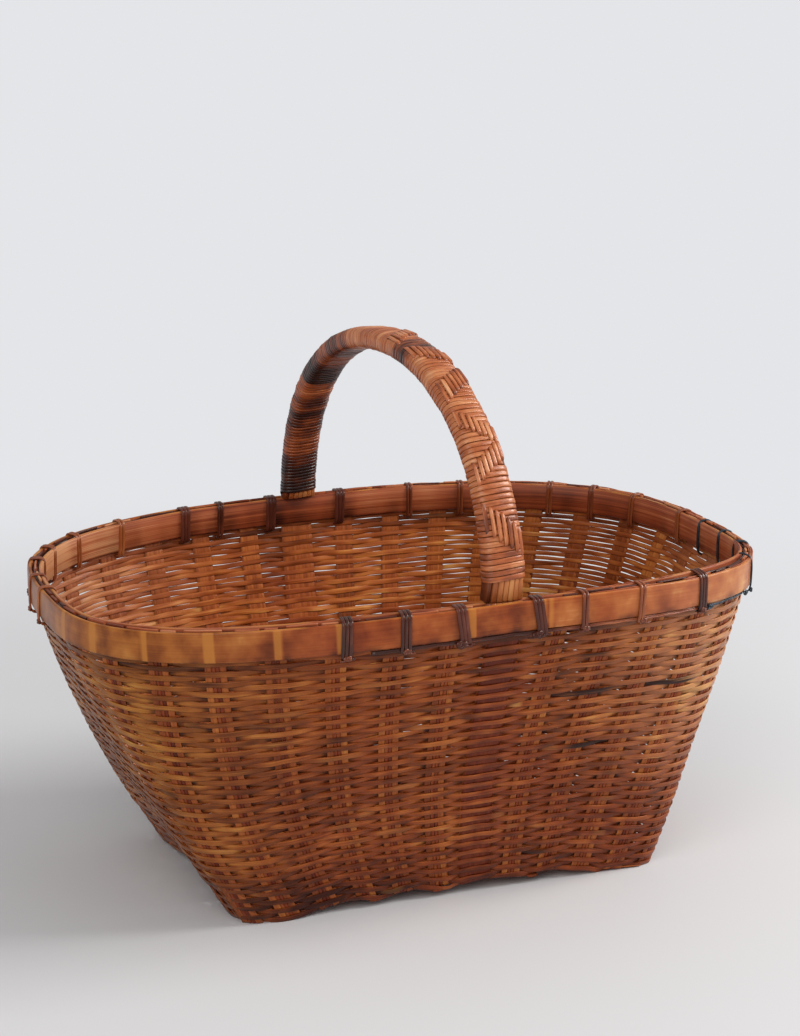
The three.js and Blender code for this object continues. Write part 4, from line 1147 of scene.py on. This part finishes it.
def makeSplints():
    # the bundle runs from rim to rim; a thin tongue of each splint goes on down between the bands
    draw = np.random.default_rng(61)
    place = np.linspace(arch["bundleGap"], wrapEnd - arch["bundleGap"], arch["bundleStations"])
    here, _, out = handleFrame(place)
    depth = np.interp(place, arch["footDepthPlaces"], [arch["footDepth"] / 2, arch["depth"] / 2])
    pitch = np.interp(place, arch["footPitchPlaces"], [arch["splintPitchFoot"], arch["splintPitch"]])
    widths = np.broadcast_to(acrossHandle, here.shape)
    tongues = []
    for side, sign, slide in (("front", -1, arch["footSlide"]), ("back", 1, 0.0)):
        x = -sign * arch["footShift"]
        high = rimTop(x)
        collar = outline(math.atan2(sign * form["rimHalfWidth"], x), 1.0, wallMiddle)[1]
        half = depth[0] if side == "front" else depth[-1]
        x = -arch["footShift"] * collar / arch["halfSpan"] - slide
        foot = np.array([[x, collar - sign * (half - arch["tongueHalf"]), high + 0.1]])
        tongues.append(np.array([[x, collar, high - down]
                                 for down in (arch["tongueLength"], arch["tongueLength"] / 2, 0.2)]))
        # the foot comes before the first station or after the last one
        parts = ((foot, here), ([[0, sign, 0]], out), ([[1.0, 0, 0]], widths), ([half], depth),
                 ([pitch[0 if side == "front" else -1]], pitch))
        here, out, widths, depth, pitch = (np.concatenate(p if side == "front" else p[::-1]) for p in parts)
    strips = []
    middle = len(arch["splintTones"]) // 2
    for i, tone in enumerate(arch["splintTones"]):
        step = i - middle
        # the bundle is rounded: its outermost splints are less deep
        share = 1 - arch["outerShallower"] * (abs(step) / middle) ** 3
        sunk = draw.uniform(0, arch["splintSunk"])
        strips.append(strip(here + widths * step * pitch[:, None] - out * sunk, widths,
                            pitch * arch["splintShare"] / 2, depth * share, section=squareSection,
                            tone=tone, out=out))
        strips += [strip(line + [step * size, 0, 0], [1.0, 0, 0], size * arch["splintShare"] / 2,
                         arch["tongueHalf"], section=softSection, tone=tone)
                   for line, size in zip(tongues, (pitch[0], pitch[-1]))]
    addPiece("handle_splints", strips, splintFinish,
             [f"handle_splint_{i + 1}" for i in range(7)])


def makeWraps():
    # one long cane: its place along the handle grows by its own pitch each turn
    steps, pitches = zip(*arch["pitches"])
    perTurn = arch["stationsPerTurn"]
    places = [0.0]
    while places[-1] < wrapEnd:
        places.append(places[-1] + float(np.interp(places[-1], steps, pitches)) / perTurn)
    place = np.array(places)
    turns = np.arange(len(place)) / perTurn
    # each turn slips along, stands off and differs in tone by its own amount
    draw = np.random.default_rng(62)
    count = int(turns[-1]) + 2
    slip, lift, ownTone = (np.interp(turns, np.arange(count), draw.normal(0, size, count))
                           for size in arch["turnSpreads"])
    corner = 2 / arch["wrapCorner"]
    side, face = (rounded(wave(turns * tau + arch["wrapStart"]), corner) for wave in (np.cos, np.sin))
    # the turns rise to the right on both legs
    slant = arch["wrapSlant"] * np.cos(math.pi * place / wrapEnd) * side
    here, along, out = handleFrame(place + slip + slant)
    # the handle is wider near its front foot
    flare = arch["wrapFlare"] * np.clip(1 - place / arch["flareLength"], 0, 1)
    across = acrossHandle * ((arch["wrapHalfWidth"] + flare + lift) * side)[:, None]
    up = out * ((arch["wrapHalfDepth"] + lift) * face)[:, None]
    centre = here + across + up
    outs = across / 3 + up
    halfWidth = arch["wrapFill"] / 2 * np.interp(place, steps, pitches)
    zonePlaces, zoneTones, zoneStains = zip(*arch["zones"])
    # its lightest stretch, about 60 to 135 mm, is partly a painted highlight
    tone = np.interp(place, zonePlaces, zoneTones) + ownTone
    mark = np.interp(place, zonePlaces, zoneStains)
    third = len(place) // 3
    for i in range(3):
        part = slice(i * third, (i + 1) * third + 1 if i < 2 else len(place))
        addPiece(f"wrapping_cane_{i + 1}",
                 [strip(centre[part], along[part], halfWidth[part], arch["wrapThickness"] / 2,
                        section=softSection, tone=tone[part], mark=mark[part], out=outs[part])],
                 wrapFinish, [f"handle_wrap_{i + 1}"])


def makeHerringbone():
    draw = np.random.default_rng(63)
    strips = []
    lift = arch["wrapHalfDepth"] + arch["wrapThickness"] + 0.1
    t = np.linspace(-1, 1, 13)
    for middle, slant, half in arch["patches"]:
        flare = 1 + 0.1 * max(0, 1 - middle / arch["flareLength"])
        for i in range(arch["floats"]):
            step = i - arch["floats"] // 2
            across = step * arch["floatPitch"] * flare
            reach = half + draw.normal(0, 0.3)
            here, along, out = handleFrame(middle + slant * across + reach * t)
            # the float's ends dive under, and the wrapping's rounded corner falls away under the outer ones
            sink = arch["floatSink"] * np.clip((np.abs(t) - 0.72) / 0.28, 0, 1) ** 1.5
            inside = 1 - (abs(across) / arch["wrapHalfWidth"]) ** arch["wrapCorner"]
            fall = arch["wrapHalfDepth"] * (1 - inside ** (1 / arch["wrapCorner"]))
            centre = here + acrossHandle * across + out * (lift - sink - fall)[:, None]
            taper = np.interp(np.abs(t), *zip(*arch["floatTaper"]))
            wide = arch["floatHalfWidth"] * taper * draw.uniform(0.9, 1.05)
            # darker towards the ends, where the float dives under: painted shade
            tone = np.interp(np.abs(t), *zip(*arch["floatShades"])) + draw.normal(0, arch["floatToneSpread"])
            tone = tone + np.interp(middle, *zip(*arch["floatTones"]))
            strips.append(strip(centre, acrossHandle + out * -0.04 * step, wide,
                                arch["floatHalfThickness"], section=softSection, tone=tone,
                                out=out + acrossHandle * 0.05 * step))
    addPiece("herringbone_cane", strips, wrapFinish)


makeSplints()
makeWraps()
makeHerringbone()
print("handle made")

# base

base = {
    # for the bands that lie across the base and for those along it: pitch, place of number 0's
    # middle, numbers of the first and the last, stations of a splint
    "pitches": (25.22, 26.0), "shifts": (12.61, 3.0), "bands": ((-6, 5), (-3, 3)), "stations": (57, 91),
    "splints": 4, "splintPitch": 26.0 / 4.1, "splintWidth": 5.6, "splintThickness": 0.95,
    # gap to the base's outline, how near the mat's edge a splint's middle may lie, and how far past
    # the edge its corners' curve reaches
    "edge": 2.2, "lastPlace": 1, "cornerReach": 3, "cornerPowerShare": 0.8, "skew": 3.0,
    "swing": 0.55, "lift": 1.35, "toneSpread": 0.6,
    "runners": 3, "runnerWidth": 13, "runnerThickness": 2.4, "runnerGap": 0.75, "runnerCrown": 0.7,
    "runnerWave": 0.22, "runnerWaves": 70, "runnerTip": 6, "tipNarrow": 0.45, "tipThin": 0.35,
    "runnerEdge": 0.5, "runnerCuts": 11,
}


def matPoint(x, y):
    # From the base's own axes to the basket's; the mat follows the wall out to the front right foot
    x = x + footPush(np.arctan2(y, x)) * np.clip(x / form["baseHalfLength"], 0, 1) ** 6
    turn = form["baseTurn"]
    shiftX, shiftY = form["baseShift"]
    return (x * math.cos(turn) - y * math.sin(turn) + shiftX,
            x * math.sin(turn) + y * math.cos(turn) + shiftY)


def baseHeight(x, y):
    # Two arches that cross, one over the length and one over the width
    along, across = (smoothStep((form[half] - np.abs(place) - form["footLength"]) / form["archRiseLength"])
                     for half, place in (("baseHalfLength", x), ("baseHalfWidth", y)))
    return base["lift"] + form["archHeight"] * (along + across - along * across)


def makeBase():
    draw = np.random.default_rng(71)
    halves = [form[half] - base["edge"] for half in ("baseHalfLength", "baseHalfWidth")]
    # the mat's corners are a little rounder than the wall's
    power = form["baseCornerPower"] * base["cornerPowerShare"]
    strips = []
    for axis, sign in ((0, 1), (1, -1)):
        half, other = halves[axis], halves[1 - axis]
        first, last = base["bands"][axis]
        for band, splint in ((b, s) for b in range(first, last + 1) for s in range(base["splints"])):
            place = (band * base["pitches"][axis] + base["shifts"][axis]
                     + (splint - (base["splints"] - 1) / 2) * base["splintPitch"])
            if abs(place) > half - base["lastPlace"]:
                continue
            corner = ((abs(place) + base["splintWidth"] / 2) / (half + base["cornerReach"])) ** power
            end = other * max(0.2, 1 - corner) ** (1 / power)
            along = np.linspace(-end, end, base["stations"][axis])
            across = place - base["skew"] * along / other
            x, y = (across, along) if axis == 0 else (along, across)
            wave = (along - base["shifts"][1 - axis]) / base["pitches"][1 - axis]
            swing = sign * base["swing"] * (-1) ** band * np.cos(math.pi * wave)
            centre = np.stack([*matPoint(x, y), baseHeight(x, y) + swing], -1)
            strips.append(strip(centre, [1.0 - axis, axis, 0], base["splintWidth"] / 2,
                                base["splintThickness"] / 2, tone=draw.normal(0, base["toneSpread"]),
                                out=upright))
    addPiece("base_weave", strips, stakeFinish, ["base_mat"])


def makeRunners():
    # A split bamboo strip: a block at its size, cut across, its ends thinned, its edges rounded
    width, thick = base["runnerWidth"] * toMetres, base["runnerThickness"] * toMetres
    length = 2 * (form["baseHalfWidth"] - base["runnerGap"]) * toMetres
    tip = base["runnerTip"] * toMetres
    for i in range(base["runners"]):
        low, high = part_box(f"base_runner_{i + 1}")
        bpy.ops.object.select_all(action="DESELECT")
        bpy.ops.mesh.primitive_cube_add(size=1, location=(0, 0, 0))
        runner = bpy.context.object
        runner.name = f"base_runner_strip_{i + 1}"
        runner.scale = (width, length, thick)
        bpy.ops.object.transform_apply(scale=True)
        bpy.ops.object.mode_set(mode="EDIT")
        bpy.ops.mesh.select_all(action="SELECT")
        bpy.ops.mesh.subdivide(number_cuts=base["runnerCuts"])
        bpy.ops.object.mode_set(mode="OBJECT")
        for vertex in runner.data.vertices:
            # crowned below like the culm it was split from
            if vertex.co.z < 0:
                vertex.co.z += base["runnerCrown"] * toMetres * (abs(vertex.co.x) / (width / 2)) ** 2
            wave = math.sin(vertex.co.y * base["runnerWaves"] + i)
            vertex.co.z += base["runnerWave"] * toMetres * wave
            # its ends are trimmed round
            end = max(0, abs(vertex.co.y) - (length / 2 - tip)) / tip
            vertex.co.x *= 1 - base["tipNarrow"] * end ** 2
            vertex.co.z *= 1 - base["tipThin"] * end ** 2
        bevel = runner.modifiers.new("rounded edges", "BEVEL")
        bevel.width = base["runnerEdge"] * toMetres
        bevel.segments = 2
        bpy.ops.object.modifier_apply(modifier=bevel.name)
        # the node lies a little turned, which is what makes its box wider than the strip
        runner.location = (low + high) / 2
        runner.rotation_euler = (0, 0, math.atan2(high.x - low.x - width, high.y - low.y))
        bpy.ops.object.transform_apply(location=True, rotation=True)
        runner.data.materials.append(weaveFinish)
        bpy.ops.object.shade_smooth_by_angle(angle=0.6)
        # fibres run along it
        for loop, spot in zip(runner.data.loops, runner.data.uv_layers.active.data):
            at = runner.data.vertices[loop.vertex_index].co
            spot.uv = (at.y, at.x + at.z)
        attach(runner, "root")
        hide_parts(f"base_runner_{i + 1}")


makeBase()
makeRunners()
print("base made")

# camera, floor and light

camera = {"yaw": 21.202, "pitch": 13.915, "roll": 1.166, "place": (-0.5464, -1.4202, 0.6041),
          "lens": 83.99}
stage = {
    # pale matt floor near the basket; further off, in metres, it fades into the backdrop's colour
    "floor": "#D6D9DE", "roughness": 0.8, "fade": {"From Min": 0.35, "From Max": 1.1},
    "floorGlow": "#E4E5E8", "sky": "#F5F3F2", "skyStrength": 0.5, "backdrop": "#E6E7EA",
}
lamps = {
    "window light": {"place": (1.9, -0.5, 1.5), "size": 1.1, "power": 46, "colour": "#FFFAF4"},
    "room light": {"place": (-1.2, -1.6, 1.6), "size": 1.6, "power": 23, "colour": "#FFF8F0"},
}
lampAim = Vector((0, 0, 0.12))


def makeCamera():
    yaw, pitch, roll = (math.radians(camera[k]) for k in ("yaw", "pitch", "roll"))
    ahead = Vector((math.sin(yaw) * math.cos(pitch), math.cos(yaw) * math.cos(pitch), -math.sin(pitch)))
    level = Vector((math.cos(yaw), -math.sin(yaw), 0))
    above = level.cross(ahead)
    right = level * math.cos(roll) + above * math.sin(roll)
    top = above * math.cos(roll) - level * math.sin(roll)
    bpy.ops.object.camera_add(location=camera["place"])
    made = bpy.context.object
    made.rotation_euler = Matrix((right, top, -ahead)).transposed().to_euler()
    made.data.lens = camera["lens"]
    made.data.clip_start = 0.05
    made.data.clip_end = 60
    scene.camera = made


def makeFloor():
    bpy.ops.object.select_all(action="DESELECT")
    bpy.ops.mesh.primitive_plane_add(size=40, location=(0, 0, 0))
    floor = bpy.context.object
    floor.name = "floor"
    finish = bpy.data.materials.new("pale matt floor")
    tree = emptyTree(finish)
    place = addNode(tree, "TexCoord").outputs
    reach = addNode(tree, "VectorMath", {0: place["Object"]}, operation="LENGTH")
    faded = addNode(tree, "MapRange", {"Value": reach.outputs["Value"], **stage["fade"]},
                    interpolation_type="SMOOTHERSTEP")
    rays = addNode(tree, "LightPath").outputs
    seen = addNode(tree, "Math", {0: rays["Is Camera Ray"], 1: rays["Is Glossy Ray"]},
                   operation="MAXIMUM")
    shown = addNode(tree, "Math", {0: faded.outputs[0], 1: seen.outputs[0]}, operation="MULTIPLY")
    shader = addNode(tree, "BsdfPrincipled", {"Base Color": colour(stage["floor"]),
                                              "Roughness": stage["roughness"],
                                              "Specular IOR Level": 0.2})
    glow = addNode(tree, "Emission", {"Color": colour(stage["floorGlow"]), "Strength": 1.0})
    mixed = addNode(tree, "MixShader", {0: shown.outputs[0], 1: shader.outputs[0], 2: glow.outputs[0]})
    addNode(tree, "OutputMaterial", {"Surface": mixed.outputs[0]})
    floor.data.materials.append(finish)


def makeWorld():
    world = bpy.data.worlds.new("soft daylight")
    scene.world = world
    tree = emptyTree(world)
    rays = addNode(tree, "LightPath").outputs
    light = addNode(tree, "Background", {"Color": colour(stage["sky"]), "Strength": stage["skyStrength"]})
    seen = addNode(tree, "Background", {"Color": colour(stage["backdrop"]), "Strength": 1.0})
    mixed = addNode(tree, "MixShader", {0: rays["Is Camera Ray"], 1: light.outputs[0], 2: seen.outputs[0]})
    addNode(tree, "OutputWorld", {"Surface": mixed.outputs[0]})


def addLamp(name, settings):
    bpy.ops.object.light_add(type="AREA", location=settings["place"])
    lamp = bpy.context.object
    lamp.name = name
    lamp.data.size = settings["size"]
    lamp.data.energy = settings["power"]
    lamp.data.color = colour(settings["colour"])[:3]
    lamp.rotation_euler = (Vector(settings["place"]) - lampAim).to_track_quat("Z", "Y").to_euler()


makeCamera()
makeFloor()
makeWorld()
for name, settings in lamps.items():
    addLamp(name, settings)
scene.view_settings.view_transform = "Standard"

print("stage made")
